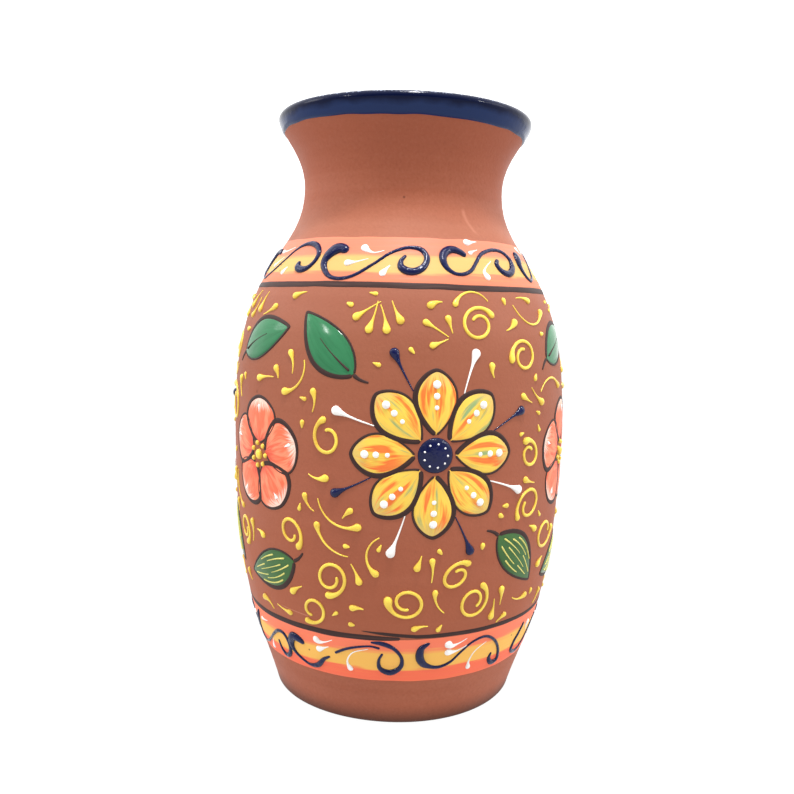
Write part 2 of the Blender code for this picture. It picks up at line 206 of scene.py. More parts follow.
@dataclass(frozen=True)
class Wall:
    """The clay wall's outline: three joined cubic curves from the foot up to the lip."""

    foot_radius: float = 0.0510
    foot_lean: float = math.radians(16.0)
    foot_rounding: float = 0.0022
    belly_rise: float = 0.1129
    belly_radius: float = 0.0699
    shoulder_rise: float = 0.0950
    neck_radius: float = 0.0414
    flare_rise: float = 0.0265
    lip_radius: float = 0.0520
    lip_lean: float = math.radians(7.0)
    lip_thickness: float = 0.0036
    thickness: float = 0.0055
    floor: float = 0.0080
    floor_fillet: float = 0.0060
    foot_handle: float = 0.24
    belly_handles: Spot = (0.65, 0.71)
    neck_handles: Spot = (0.31, 0.50)
    lip_handle: float = 0.20
    table_steps: int = 161
    wobble: float = 0.00016
    waves: tuple[tuple[float, int, float, float], ...] = (
        (1.0, 2, 19.0, 0.6),
        (0.7, 3, -31.0, 2.1),
        (0.5, 5, 47.0, 0.0),
    )
    finger_marks: float = 0.000022
    mark_pitch: float = 1450.0
    mark_sway: float = 1.3
    sway_pitch: float = 60.0

    @property
    def foot_height(self) -> float:
        """Height where the leaning wall meets the foot's rounding."""
        return self.foot_rounding * (1 - math.sin(self.foot_lean))

    @property
    def neck_height(self) -> float:
        """Height of the narrowest ring."""
        return self.foot_height + self.belly_rise + self.shoulder_rise

    @property
    def lip_height(self) -> float:
        """Height of the lip's outer edge, where its round begins."""
        return self.neck_height + self.flare_rise

    @cached_property
    def table(self) -> Array:
        """The outside from the foot to the lip, finely stepped.

        Each cubic is the sum of its four corners weighted by the Bernstein terms of t from 0 to 1. The wall
        leans out at the foot and the lip and is upright at the belly and the neck, so the inner corners lie
        along those leans.

        Returns:
            Rows of (radius, height).
        """
        foot_z = self.foot_height
        belly_z = foot_z + self.belly_rise
        neck_z, lip_z = self.neck_height, self.lip_height
        rise = self.foot_handle * self.belly_rise
        back = self.lip_handle * self.flare_rise
        below, above = self.belly_handles
        under, over = self.neck_handles
        foot, belly, neck, lip = self.foot_radius, self.belly_radius, self.neck_radius, self.lip_radius
        corners = np.array([
            (foot, foot_z),
            (foot + rise * math.sin(self.foot_lean), foot_z + rise * math.cos(self.foot_lean)),
            (belly, belly_z - below * self.belly_rise),
            (belly, belly_z),
            (belly, belly_z + above * self.shoulder_rise),
            (neck, neck_z - under * self.shoulder_rise),
            (neck, neck_z),
            (neck, neck_z + over * self.flare_rise),
            (lip - back * math.sin(self.lip_lean), lip_z - back * math.cos(self.lip_lean)),
            (lip, lip_z),
        ])
        t = np.linspace(0.0, 1.0, self.table_steps)
        weights = np.stack([(1 - t) ** 3, 3 * t * (1 - t) ** 2, 3 * t * t * (1 - t), t**3], axis=1)
        foot_curve, belly_curve, neck_curve = (weights @ corners[k : k + 4] for k in (0, 3, 6))
        return np.concatenate([foot_curve, belly_curve[1:], neck_curve[1:]])

    @cached_property
    def table_normals(self) -> Array:
        """Outward normals at the table's rows: its slope turned by a right angle.

        Returns:
            Rows of (radial part, upward part).
        """
        slope = np.gradient(self.table, axis=0)
        across = np.stack([slope[:, 1], -slope[:, 0]], axis=1)
        return across / np.linalg.norm(across, axis=1, keepdims=True)

    def radius(self, z: Array) -> Array:
        """Outside radius at heights."""
        return np.interp(z, self.table[:, 1], self.table[:, 0])

    def normal(self, z: Array) -> tuple[Array, Array]:
        """Outward normals of the outline.

        Args:
            z: heights.

        Returns:
            Their radial and upward parts.
        """
        radial = np.interp(z, self.table[:, 1], self.table_normals[:, 0])
        upward = np.interp(z, self.table[:, 1], self.table_normals[:, 1])
        length = np.hypot(radial, upward)
        return radial / length, upward / length

    def depth(self, z: Array) -> Array:
        """Thickness of the clay at heights: even up to the neck, then thinner towards the lip."""
        return np.interp(z, (self.neck_height, self.lip_height), (self.thickness, self.lip_thickness))

    def ripple(self, angle: Array, z: Array) -> Array:
        """How far a hand-thrown wall strays from its outline: a few slow waves and faint finger marks.

        Args:
            angle: angles round the axis.
            z: heights.

        Returns:
            Radial shifts, as a sum of cosines of the angle whose phase drifts with height.
        """
        slow = sum(
            size * np.cos(turns * angle + drift * z + phase) for size, turns, drift, phase in self.waves
        )
        sway = self.mark_sway * np.sin(2 * angle + self.sway_pitch * z)
        marks = np.sin(self.mark_pitch * z + angle + sway)
        return self.wobble * slow + self.finger_marks * marks

    def place(self, angle: Array, z: Array, lift: Array | float) -> Array:
        """Places that stand a lift off the wall at angles round the axis and heights.

        Args:
            angle: angles round the axis.
            z: heights.
            lift: distances out from the clay along its normal.

        Returns:
            Places, with the axis last.
        """
        angle, z, lift = np.broadcast_arrays(angle, z, lift)
        radial, upward = self.normal(z)
        reach = self.radius(z) + self.ripple(angle, z) + lift * radial
        return np.stack([reach * np.cos(angle), reach * np.sin(angle), z + lift * upward], axis=-1)

    def upright(self, angle: Array, z: Array) -> Array:
        """Outward unit normals of the wall, as vectors."""
        radial, upward = self.normal(z)
        return np.stack([radial * np.cos(angle), radial * np.sin(angle), upward], axis=-1)


WALL = Wall()
TURN_POINTS = 288


def turn_angles(count: int = TURN_POINTS) -> Array:
    """Even angles for one full turn."""
    return np.linspace(0.0, math.tau, count, endpoint=False)


@dataclass(frozen=True)
class Seat:
    """Where a flat drawing lies on the wall.

    Args:
        angle: angle of its middle round the axis.
        z: height of its middle.
        tilt: its turn, anticlockwise as seen from outside.
    """

    angle: float
    z: float
    tilt: float = 0.0

    def turned(self, tilt: float) -> "Seat":
        """The same place with another turn."""
        return Seat(self.angle, self.z, tilt)

    def circle(self, radius: float) -> Triple:
        """A circle round the middle, as angle, height and radius."""
        return self.angle, self.z, radius

    def laid(self, across: Array, up: Array) -> tuple[Array, Array]:
        """Angles and heights of the drawing.

        Args:
            across: distances to the right in it.
            up: distances upwards in it.

        Returns:
            Angles and heights: the drawing is turned, then each step across is an arc of its own ring.
        """
        right = across * math.cos(self.tilt) - up * math.sin(self.tilt)
        height = self.z + (across * math.sin(self.tilt) + up * math.cos(self.tilt))
        return self.angle + right / WALL.radius(height), height

    def around(self, reach: Array | float, tilts: Array) -> list["Seat"]:
        """Upright seats at distances from the middle, in some directions."""
        angle, z = self.laid(reach * np.cos(tilts), reach * np.sin(tilts))
        return [Seat(*spot) for spot in zip(angle.ravel().tolist(), z.ravel().tolist())]


def smooth_noise(angle: Array, seed: int, waves: int = 9) -> Array:
    """A wavering line round the vase: a sum of cosines of whole turns with seeded phases.

    Args:
        angle: angles round the axis.
        seed: start of the random phases and sizes.
        waves: number of cosines, at every third whole number of turns.

    Returns:
        Values of about -1 to 1.
    """
    draw = np.random.default_rng(seed)
    number = np.arange(1, waves + 1)
    phases = draw.uniform(0, math.tau, waves)
    sizes = draw.uniform(0.4, 1.0, waves) / np.sqrt(number)
    line = np.cos(np.asarray(angle)[..., None] * (3 * number) + phases) * sizes
    return line.sum(axis=-1) / sizes.sum() * 1.6


# A bead's section: steps over its back, and as shares the half width of its underside, the depth of its
# edge, and the least width and height of its round ends.
BEAD_STEPS = 9
BEAD_UNDERSIDE = 0.9
BEAD_EDGE = 0.25
BEAD_TIP_WIDTH = 0.05
BEAD_TIP_HEIGHT = 0.2


def bead(angle: Array, z: Array, width: Array, height: Array) -> Shell:
    """A rounded bead of slip along a route on the wall.

    The section is a half ellipse over the wall with its foot sunk in the clay. It is carried along the
    route, across the travel and square to the wall, and shrinks to a round end at both ends.

    Args:
        angle: angles of the route.
        z: heights of the route.
        width: width of the bead at each step.
        height: its height at each step.

    Returns:
        The closed bead. Its chart runs along it in metres, and across it from 0 to 1.
    """
    centre = WALL.place(angle, z, 0.0)
    normal = WALL.upright(angle, z)
    step = np.gradient(centre, axis=0)
    travel = np.concatenate([[0.0], np.cumsum(np.linalg.norm(np.diff(centre, axis=0), axis=1))])
    side = np.cross(normal, step)
    side /= np.linalg.norm(side, axis=1, keepdims=True)
    from_end = np.minimum(travel, travel[-1] - travel)
    share = np.clip(from_end / (width / 2), 0.0, 1.0)
    round_off = np.sqrt(np.clip(1 - (1 - share) ** 2, BEAD_TIP_WIDTH**2, 1.0))
    half, top = width / 2 * round_off, height * np.clip(round_off, BEAD_TIP_HEIGHT, 1.0)
    sweep = np.linspace(0.0, math.pi, BEAD_STEPS)
    across = np.concatenate([np.cos(sweep), [-BEAD_UNDERSIDE, BEAD_UNDERSIDE]])
    rise = np.concatenate([np.sin(sweep), [0.0, 0.0]])
    sunk = np.concatenate([np.full(BEAD_STEPS, BEAD_EDGE), [1.0, 1.0]]) * SINK
    rings = centre[:, None] + (half[:, None] * across)[..., None] * side[:, None]
    rings = rings + (top[:, None] * rise - sunk)[..., None] * normal[:, None]
    chart = np.stack(np.broadcast_arrays(travel[:, None], across * 0.5 + 0.5), axis=-1)
    return Shell.loft(rings, chart)


def eased(count: int) -> Array:
    """Shares from 0 to 1 that crowd towards both ends, for a route whose ends are round."""
    return 0.5 - 0.5 * np.cos(np.linspace(0.0, math.pi, count))


def smooth(points: Array, count: int) -> Array:
    """A smooth line through points: cubic pieces whose slopes are those of the chords on either side.

    Args:
        points: points to pass through; the first two columns are places, and the others go along.
        count: steps of the line, which crowd towards its ends.

    Returns:
        The line's points.
    """
    chords = np.linalg.norm(np.diff(points[:, :2], axis=0), axis=1)
    knots = np.concatenate([[0.0], np.cumsum(np.sqrt(chords))])
    slope = np.gradient(points, knots, axis=0)
    at = eased(count) * knots[-1]
    k = np.clip(np.searchsorted(knots, at, side="right") - 1, 0, len(knots) - 2)
    gap = (knots[k + 1] - knots[k])[:, None]
    t = (at - knots[k])[:, None] / gap
    low = (2 * t**3 - 3 * t**2 + 1) * points[k] + (t**3 - 2 * t**2 + t) * gap * slope[k]
    high = (3 * t**2 - 2 * t**3) * points[k + 1] + (t**3 - t**2) * gap * slope[k + 1]
    return low + high


@dataclass(frozen=True)
class Scroll:
    """One trailed scroll and its white drops, drawn in a room as wide as a pitch and as high as the band.

    Args:
        strokes: lines of slip, each a row of points: across, up and the line's width.
        drops: drops, each the head's width and a row of points from head to tail: across and up.

    Places are in hundredths of the room, and widths in hundredths of a centimetre.
    """

    strokes: tuple[tuple[tuple[int, int, int], ...], ...]
    drops: tuple[tuple[int, tuple[tuple[int, int], ...]], ...]


# The scrolls of both borders. Those named for a length stand in front and are repeated behind, and those
# named for a side stand at the left and right of the front.
UPPER_LONG = Scroll(
    strokes=((
        (27, 63, 28), (22, 71, 40), (16, 71, 46), (10, 60, 40), (7, 42, 30), (10, 24, 22), (17, 8, 17),
        (26, 3, 15), (37, 9, 14), (53, 36, 13), (67, 62, 13), (83, 75, 16), (94, 70, 20), (98, 53, 22),
        (95, 34, 24), (88, 22, 29), (81, 22, 33), (76, 31, 28), (76, 44, 19), (80, 57, 12),
    ),),
    drops=(
        (32, ((40, 78), (46, 67), (52, 62), (61, 67))),
        (30, ((27, 38), (36, 40), (48, 48))),
        (26, ((60, 10), (63, 22), (67, 34))),
    ),
)
UPPER_SHORT = Scroll(
    strokes=((
        (35, 60, 24), (29, 70, 29), (22, 74, 33), (15, 67, 34), (12, 52, 29), (14, 32, 22),
        (20, 20, 16), (28, 19, 16), (36, 28, 16), (44, 48, 15), (52, 66, 15), (62, 76, 15),
        (74, 80, 16), (85, 74, 18), (90, 58, 21), (87, 38, 28), (77, 25, 29), (69, 32, 24),
        (67, 46, 22), (71, 57, 16),
    ),),
    drops=(
        (33, ((37, 92), (43, 93), (53, 96))),
        (19, ((39, 66), (43, 71), (50, 77))),
        (30, ((52, 8), (49, 26), (54, 40), (61, 52))),
    ),
)
LOWER_LONG = Scroll(
    strokes=(
        (
            (14, 62, 17), (9, 71, 30), (3, 73, 38), (-1, 57, 32), (0, 37, 19), (6, 23, 14),
            (15, 12, 13), (24, 16, 23), (32, 37, 16), (38, 47, 9),
        ),
        ((43, 59, 11), (54, 75, 13), (65, 84, 10), (73, 87, 9), (80, 83, 11)),
        (
            (73, 97, 8), (82, 95, 19), (91, 83, 15), (97, 59, 14), (96, 37, 20), (88, 24, 25),
            (80, 33, 19), (79, 53, 12), (82, 71, 9),
        ),
    ),
    drops=(
        (31, ((25, 88), (30, 79), (36, 82), (42, 90))),
        (27, ((26, 58), (31, 63), (38, 71))),
        (23, ((56, 20), (53, 42), (58, 66), (71, 80))),
    ),
)
LOWER_SHORT = Scroll(
    strokes=((
        (18, 96, 10), (12, 84, 26), (11, 63, 34), (14, 46, 29), (20, 37, 18), (28, 34, 14),
        (37, 43, 12), (46, 67, 11), (55, 86, 11), (66, 92, 12), (77, 77, 13), (86, 46, 14),
        (88, 20, 18), (82, 15, 23), (77, 30, 17), (78, 44, 9),
    ),),
    drops=(
        (33, ((31, 94), (36, 84), (42, 88), (49, 97))),
        (30, ((31, 69), (40, 69), (49, 78), (57, 90))),
        (23, ((56, 16), (55, 37), (59, 60), (69, 78))),
    ),
)
UPPER_LEFT = Scroll(
    strokes=((
        (26, 66, 16), (20, 74, 26), (13, 70, 30), (8, 55, 28), (7, 36, 22), (10, 18, 16), (16, 8, 12),
        (22, 8, 10), (30, 16, 10), (39, 28, 10), (51, 51, 10), (60, 71, 11), (70, 83, 16), (83, 85, 24),
        (92, 76, 24), (97, 60, 22), (96, 42, 20), (91, 28, 22), (84, 24, 30), (78, 30, 32),
        (77, 44, 12),
    ),),
    drops=(
        (20, ((30, 71), (41, 71), (56, 79))),
        (18, ((31, 34), (36, 45), (44, 57))),
        (24, ((58, 13), (59, 21), (62, 32))),
    ),
)
UPPER_RIGHT = Scroll(
    strokes=((
        (11, 80, 18), (9, 74, 30), (7, 63, 38), (4, 46, 28), (5, 29, 20), (9, 17, 16), (14, 13, 15),
        (21, 22, 13), (28, 41, 12), (40, 65, 12), (52, 80, 13), (66, 84, 15), (80, 76, 17),
        (91, 60, 19), (93, 40, 20), (88, 25, 23), (80, 24, 22), (75, 34, 17), (77, 48, 12),
    ),),
    drops=(
        (22, ((20, 92), (27, 84), (36, 80))),
        (26, ((42, 30), (48, 36), (56, 46))),
        (26, ((60, 10), (63, 22), (67, 34))),
    ),
)
LOWER_LEFT = Scroll(
    strokes=(
        (
            (2, 70, 12), (5, 80, 20), (11, 76, 24), (14, 54, 20), (19, 32, 14), (26, 28, 12),
            (31, 42, 9),
        ),
        (
            (50, 90, 10), (47, 80, 22), (43, 62, 20), (39, 40, 14), (40, 21, 12), (46, 12, 12),
            (54, 16, 13), (65, 35, 13), (75, 56, 14), (83, 69, 15), (90, 70, 15), (94, 57, 15),
            (95, 37, 16), (93, 22, 20), (88, 12, 20), (84, 16, 15), (81, 28, 12), (80, 45, 9),
        ),
    ),
    drops=(
        (23, ((20, 58), (26, 62), (33, 72))),
        (19, ((54, 75), (59, 74), (67, 78))),
        (19, ((66, 9), (66, 20), (68, 36))),
    ),
)
LOWER_RIGHT = Scroll(
    strokes=(
        (
            (17, 88, 9), (16, 80, 12), (13, 65, 14), (9, 47, 15), (8, 30, 16), (11, 19, 17),
            (17, 13, 16), (25, 16, 13), (32, 30, 12), (37, 48, 11), (42, 68, 10), (48, 84, 9),
        ),
        ((54, 80, 10), (61, 88, 12), (70, 87, 10), (78, 82, 11)),
        LOWER_LONG.strokes[2],
    ),
    drops=(
        (26, ((27, 86), (27, 74), (32, 54))),
        LOWER_LONG.drops[2],
    ),
)


# A drop's head: where its bell starts, how far it falls off and how steeply, as shares of the head's width.
HEAD_START = 0.45
HEAD_FALL = 0.75
HEAD_POWER = 1.7
# Share of its width that a tail loses on the way, and the height of the thinnest bead.
TAIL_LOSS = 0.6
BEAD_BASE = 0.00014


def bulb(travel: Array, head: float, tail: float) -> Array:
    """Widths along a drop of slip: an egg-shaped head that falls off as a bell does, and a thinning tail.

    Args:
        travel: distances from the head's end.
        head: width of the head.
        tail: width of the tail where it leaves the head.

    Returns:
        The widths.
    """
    past = np.clip(travel / head - HEAD_START, 0.0, None)
    bell = np.exp(-((past / HEAD_FALL) ** HEAD_POWER))
    return tail * (1 - TAIL_LOSS * travel / travel[-1]) + (head - tail) * bell


def lay(line: Array, seat: Seat, relief: float = 0.30) -> Shell:
    """A bead along a flat drawing's line.

    Args:
        line: rows of (distance across, distance up, width).
        seat: where the drawing lies.
        relief: height of the bead as a share of its width.

    Returns:
        The closed bead on the wall.
    """
    across, up, width = line.T
    return bead(*seat.laid(across, up), width, width * relief + BEAD_BASE)


@dataclass(frozen=True)
class Stroke:
    """One comma or drop of slip: a fat head and a tail that thins and bends.

    Args:
        length: head to tail.
        head: width of the head.
        tail: width of the tail.
        bend: how far the tail turns from the head's direction.
    """

    length: float
    head: float
    tail: float
    bend: float = 0.5

    def line(self, steps: int) -> Array:
        """The stroke drawn flat: an arc from the head whose heading turns evenly from 0 to the bend.

        Args:
            steps: steps along it.

        Returns:
            Rows of (across, up, width).
        """
        share = eased(steps)
        heading = self.bend * share
        step = np.diff(share, prepend=0.0) * self.length
        across, up = np.cumsum(step * np.cos(heading)), np.cumsum(step * np.sin(heading))
        return np.stack([across, up, bulb(share * self.length, self.head, self.tail)], axis=1)

    def drawn_in(self, fan: float, reach: float, steps: int = 26) -> Array:
        """The same line with its head out at a reach and its tail towards the drawing's middle.

        Args:
            fan: direction of the head from the middle.
            reach: distance of the head's end from the middle.
            steps: steps along it.

        Returns:
            Rows of (across, up, width).
        """
        across, up, width = self.line(steps).T
        along = reach - across
        right = along * math.cos(fan) + up * math.sin(fan)
        rise = along * math.sin(fan) - up * math.cos(fan)
        return np.stack([right, rise, width], axis=1)


# Heights of a dot's rings, as shares of its own height; the first one is its sunk foot.
DOT_RISES = (-0.3, 0.0, 0.35, 0.65, 0.87, 0.985)


def dot(seat: Seat, size: float, relief: float, around: int = 12) -> Shell:
    """A round drop: rings of a circle that close in and rise as a quarter ellipse does.

    Args:
        seat: where it lies.
        size: its width.
        relief: its height as a share of its width.
        around: points round it.

    Returns:
        The closed drop.
    """
    rise = np.array(DOT_RISES)
    reach = np.sqrt(np.clip(1 - np.clip(rise, 0, 1) ** 2, 0.0, 1.0))
    round_ = turn_angles(around)
    across = reach[:, None] * np.cos(round_) * size / 2
    up = reach[:, None] * np.sin(round_) * size / 2
    lift = np.broadcast_to((rise * size * relief)[:, None], across.shape)
    spots = seat.laid(across, up)
    chart = np.stack(np.broadcast_arrays(size * np.cos(round_), 0.5 + 0.5 * reach[:, None]), axis=-1)
    return Shell.loft(WALL.place(*spots, lift), chart)


@dataclass(frozen=True)
class Pad:
    """A painted petal or leaf: a pad with a rounded edge and a low crown.

    Args:
        length: from its base to its tip.
        width: its greatest width.
        fullness: where the widest place lies; above 1 towards the tip, below 1 towards the base.
        bluntness: below 1 rounds the tip off, above 1 draws it out.
        bend: sideways bow of its middle line.
        edge: height of its edge.
        crown: extra height along its middle.
    """

    length: float
    width: float
    fullness: float
    bluntness: float
    bend: float = 0.0
    edge: float = 0.00010
    crown: float = 0.00035
    long_steps: int = 30
    cross_steps: int = 13
    outline_steps: int = 34
    outline_height: float = 0.00030
    outline_widths: Spot = (0.75, 0.35)
    outline_swing: Spot = (0.3, 2.8)
    edge_power: int = 6
    chart_start: float = 0.02
    chart_length: float = 0.96

    def half_width(self, share: Array) -> Array:
        """Half the width along the pad: a sine whose argument and value are both raised to a power."""
        arch = np.clip(np.sin(math.pi * np.clip(share, 0, 1) ** self.fullness), 0, 1)
        return self.width / 2 * arch**self.bluntness

    def middle(self, share: Array) -> Array:
        """Sideways place of the middle line: one arch of a sine."""
        return self.bend * np.sin(math.pi * share)

    def shell(self, seat: Seat, start: float, tag: int) -> Shell:
        """The pad laid on the wall.

        Args:
            seat: where it lies, turned in its direction.
            start: distance from the seat's middle to the pad's base.
            tag: whole number added to the chart, so that each pad's brush marks differ.

        Returns:
            The closed pad. Its chart runs from base to tip, and across from 0 to 1.
        """
        share = eased(self.long_steps)[1:-1]
        over = np.linspace(-1.0, 1.0, self.cross_steps)
        v = np.concatenate([over, over[::-1]])
        on_top = np.arange(len(v)) < self.cross_steps
        along = (start + share * self.length)[:, None] + 0 * v
        across = self.half_width(share)[:, None] * v + self.middle(share)[:, None]
        round_edge = np.sqrt(np.clip(1 - v**self.edge_power, 0, 1))
        swell = self.edge * round_edge + self.crown * (1 - v * v) * np.sin(math.pi * share)[:, None]
        lift = np.where(on_top, swell, -SINK)
        spots = seat.laid(along, across)
        lengthways = tag + self.chart_start + self.chart_length * share[:, None]
        chart = np.stack(np.broadcast_arrays(lengthways, 0.5 + 0.5 * v), axis=-1)
        return Shell.loft(WALL.place(*spots, lift), chart)

    def outline(self, seat: Seat, start: float, width: float) -> Shell:
        """A brushed line round the pad, from its base up one side, over the tip and down the other.

        Args:
            seat: where the pad lies, turned in its direction.
            start: distance from the seat's middle to the pad's base.
            width: about how wide the line is; it swells and thins as a sine does.

        Returns:
            The closed line.
        """
        side = eased(self.outline_steps)
        share = np.concatenate([side[1:], side[::-1][1:-1]])
        sign = np.where(np.arange(len(share)) < self.outline_steps - 1, 1.0, -1.0)
        along = start + share * self.length
        across = self.half_width(share) * sign + self.middle(share)
        least, more = self.outline_widths
        swell = width * (least + more * np.sin(2 * np.linspace(*self.outline_swing, len(share))))
        route = seat.laid(along, across)
        return bead(*route, swell, np.full(len(share), self.outline_height))


# Finishes


# Range that most values of a noise keep to.
NOISE_SPAN: Spot = (0.3, 0.7)


@dataclass(frozen=True)
class Show:
    """How much of something shows, by a value of the surface.

    Args:
        none: value where nothing of it shows.
        full: value where it shows most.
        most: how much of it shows there.
    """

    none: float
    full: float
    most: float = 1.0


class Nodes:
    """A tree of shader nodes, added one by one."""

    def __init__(self, tree: bpy.types.NodeTree) -> None:
        """Starts with the nodes that the tree holds."""
        self.tree = tree

    def feed(self, socket: Socket, value: object) -> None:
        """Links a socket to another, or gives it a constant."""
        if isinstance(value, Socket):
            self.tree.links.new(value, socket)
        else:
            socket.default_value = value

    def add(self, kind: str, inputs: dict[object, object], **settings: object) -> bpy.types.NodeOutputs:
        """Adds one node.

        Args:
            kind: Blender's name of the node, without its ShaderNode prefix.
            inputs: constants or sockets, by input name or number.
            settings: the node's own options.

        Returns:
            The node's outputs.
        """
        node = self.tree.nodes.new(f"ShaderNode{kind}")
        for key, value in settings.items():
            setattr(node, key, value)
        for key, value in inputs.items():
            self.feed(node.inputs[key], value)
        return node.outputs

    def parts(self, vector: Socket) -> bpy.types.NodeOutputs:
        """The three parts of a vector."""
        return self.add("SeparateXYZ", {0: vector})

    def spread(self, value: object, low: float, high: float, to: Spot = (0.0, 1.0)) -> Socket:
        """Maps a range onto another, without going past its ends."""
        ends = {"Value": value, "From Min": low, "From Max": high, "To Min": to[0], "To Max": to[1]}
        return self.add("MapRange", ends)[0]

    def shown(self, value: object, show: Show) -> Socket:
        """How much of something shows."""
        return self.spread(value, show.none, show.full, (0.0, show.most))

    def even(self, noise: Socket, to: Spot = (0.0, 1.0)) -> Socket:
        """Maps a noise's usual values onto a range."""
        return self.spread(noise, *NOISE_SPAN, to)

    def sum(self, kind: str, first: object, second: object) -> Socket:
        """One step of arithmetic on two values."""
        return self.add("Math", {0: first, 1: second}, operation=kind)[0]

    def apart(self, first: object, second: object) -> Socket:
        """How far two values lie apart."""
        return self.sum("ABSOLUTE", self.sum("SUBTRACT", first, second), 0.0)


class Graph(Nodes):
    """A material's nodes, which end in a Principled shader."""

    def __init__(self, name: str) -> None:
        """Starts a material.

        Args:
            name: the material's name.
        """
        self.material = bpy.data.materials.new(name)
        self.material.use_nodes = True
        super().__init__(self.material.node_tree)

    def surface(self, **values: object) -> None:
        """Sets or links inputs of the shader, named with _ for a blank."""
        shader = self.tree.nodes["Principled BSDF"]
        for key, value in values.items():
            self.feed(shader.inputs[key.replace("_", " ")], value)

    def place(self, scale: Triple = (1.0, 1.0, 1.0)) -> Socket:
        """Object coordinates, stretched."""
        return self.add("Mapping", {"Vector": self.add("TexCoord", {})["Object"], "Scale": scale})[0]

    def chart(self, scale: Triple = (1.0, 1.0, 1.0)) -> Socket:
        """The piece's own surface coordinates, stretched."""
        return self.add("Mapping", {"Vector": self.add("UVMap", {}, uv_map="chart")[0], "Scale": scale})[0]

    def noise(self, vector: Socket, scale: float, detail: float = 3.0) -> Socket:
        """Cloudy values round 0.5."""
        return self.add("TexNoise", {"Vector": vector, "Scale": scale, "Detail": detail})[0]

    def swayed(self, value: object, noise: Socket, most: float) -> Socket:
        """A value that a noise moves up and down."""
        return self.sum("ADD", value, self.even(noise, (-most, most)))

    def mix(self, share: object, first: object, second: object) -> Socket:
        """A blend of two colours."""
        return self.add("Mix", {0: share, 6: first, 7: second}, data_type="RGBA")[2]

    def tint(self, colour: object, shade: Tone, value: object, show: Show) -> Socket:
        """A colour with a shade over it, as far as a value lets the shade show."""
        return self.mix(self.shown(value, show), colour, shade)

    def ramp(self, value: object, stops: Sequence[Stop]) -> Socket:
        """Colours along a value.

        Args:
            value: the value, from 0 to 1.
            stops: values and their colours, in rising order.

        Returns:
            The colour, blended evenly from stop to stop.
        """
        colour = self.add("ValToRGB", {0: value})[0]
        band = colour.node.color_ramp.elements
        for k, (at, shade) in enumerate(stops):
            stop = band[k] if k < 2 else band.new(at)
            stop.position, stop.color = at, shade
        return colour

    def bump(self, height: object, strength: float, distance: float) -> Socket:
        """Normals of a rough surface."""
        return self.add("Bump", {"Height": height, "Strength": strength, "Distance": distance})[0]


class Finish:
    """A look that is made into a material.

    Its skin gives the strength and the depth of its bumps, and the level of its gloss.
    """

    skin: Triple

    def material(self) -> Material:
        """Builds the nodes."""
        raise NotImplementedError

    def coat(self, graph: Graph, colour: Socket, rough: Socket, height: Socket) -> Material:
        """Ends a material in its shader.

        Args:
            graph: the material's nodes.
            colour: its colour.
            rough: its roughness.
            height: heights of its bumps.

        Returns:
            The material.
        """
        strength, depth, gloss = self.skin
        graph.surface(Base_Color=colour, Roughness=rough, Specular_IOR_Level=gloss)
        graph.surface(Normal=graph.bump(height, strength, depth))
        return graph.material


@dataclass(frozen=True)
class Specks:
    """Strewn specks, in patches.

    Args:
        scale: how close they lie.
        size: how much of one shows, by the distance from its middle.
        patch: how small the patches are.
        rarity: how much the patches show, by their noise.
    """

    scale: float
    size: Show
    patch: float
    rarity: Show

    def share(self, graph: Graph) -> Socket:
        """How much they show.

        Args:
            graph: the material's nodes.

        Returns:
            Values from 0 to 1: the nearness to the nearest middle, where a slow noise is high.
        """
        spot = graph.place()
        middles = graph.add("TexVoronoi", {"Vector": spot, "Scale": self.scale})["Distance"]
        rare = graph.shown(graph.noise(spot, self.patch, 1), self.rarity)
        return graph.sum("MULTIPLY", graph.shown(middles, self.size), rare)


@dataclass(frozen=True)
class Scuff:
    """A pale rubbed line on the clay's front.

    Args:
        along: number of the axis that it runs along.
        across: number of the axis that its place is given on.
        start: places on those two axes where it starts.
        end: places where it ends.
        bow: 1 for a straight line, more for one that bows.
        show: how much it shows, by the distance off it.
        fade: shares of its half length where it has faded, and where it is full.
        front: places from back to front where it starts to show, and where it is full.
    """

    along: int
    across: int
    start: Spot
    end: Spot
    bow: float
    show: Show
    fade: Spot = (1.05, 0.70)
    front: Spot = (0.0, -0.01)

    def share(self, graph: Graph, parts: bpy.types.NodeOutputs) -> Socket:
        """How much the line shows.

        Args:
            graph: the material's nodes.
            parts: the three object coordinates.

        Returns:
            Values that fall off to both sides of the line, and towards its ends.
        """
        (near, first), (far, last) = self.start, self.end
        bow = graph.sum("POWER", graph.spread(parts[self.along], near, far), self.bow)
        line = graph.spread(bow, 0.0, 1.0, (first, last))
        share = graph.shown(graph.apart(parts[self.across], line), self.show)
        half = abs(far - near) / 2
        away = graph.apart(parts[self.along], (near + far) / 2)
        ends = [half * fade for fade in self.fade]
        share = graph.sum("MULTIPLY", share, graph.spread(away, *ends))
        return graph.sum("MULTIPLY", share, graph.spread(parts[1], *self.front))


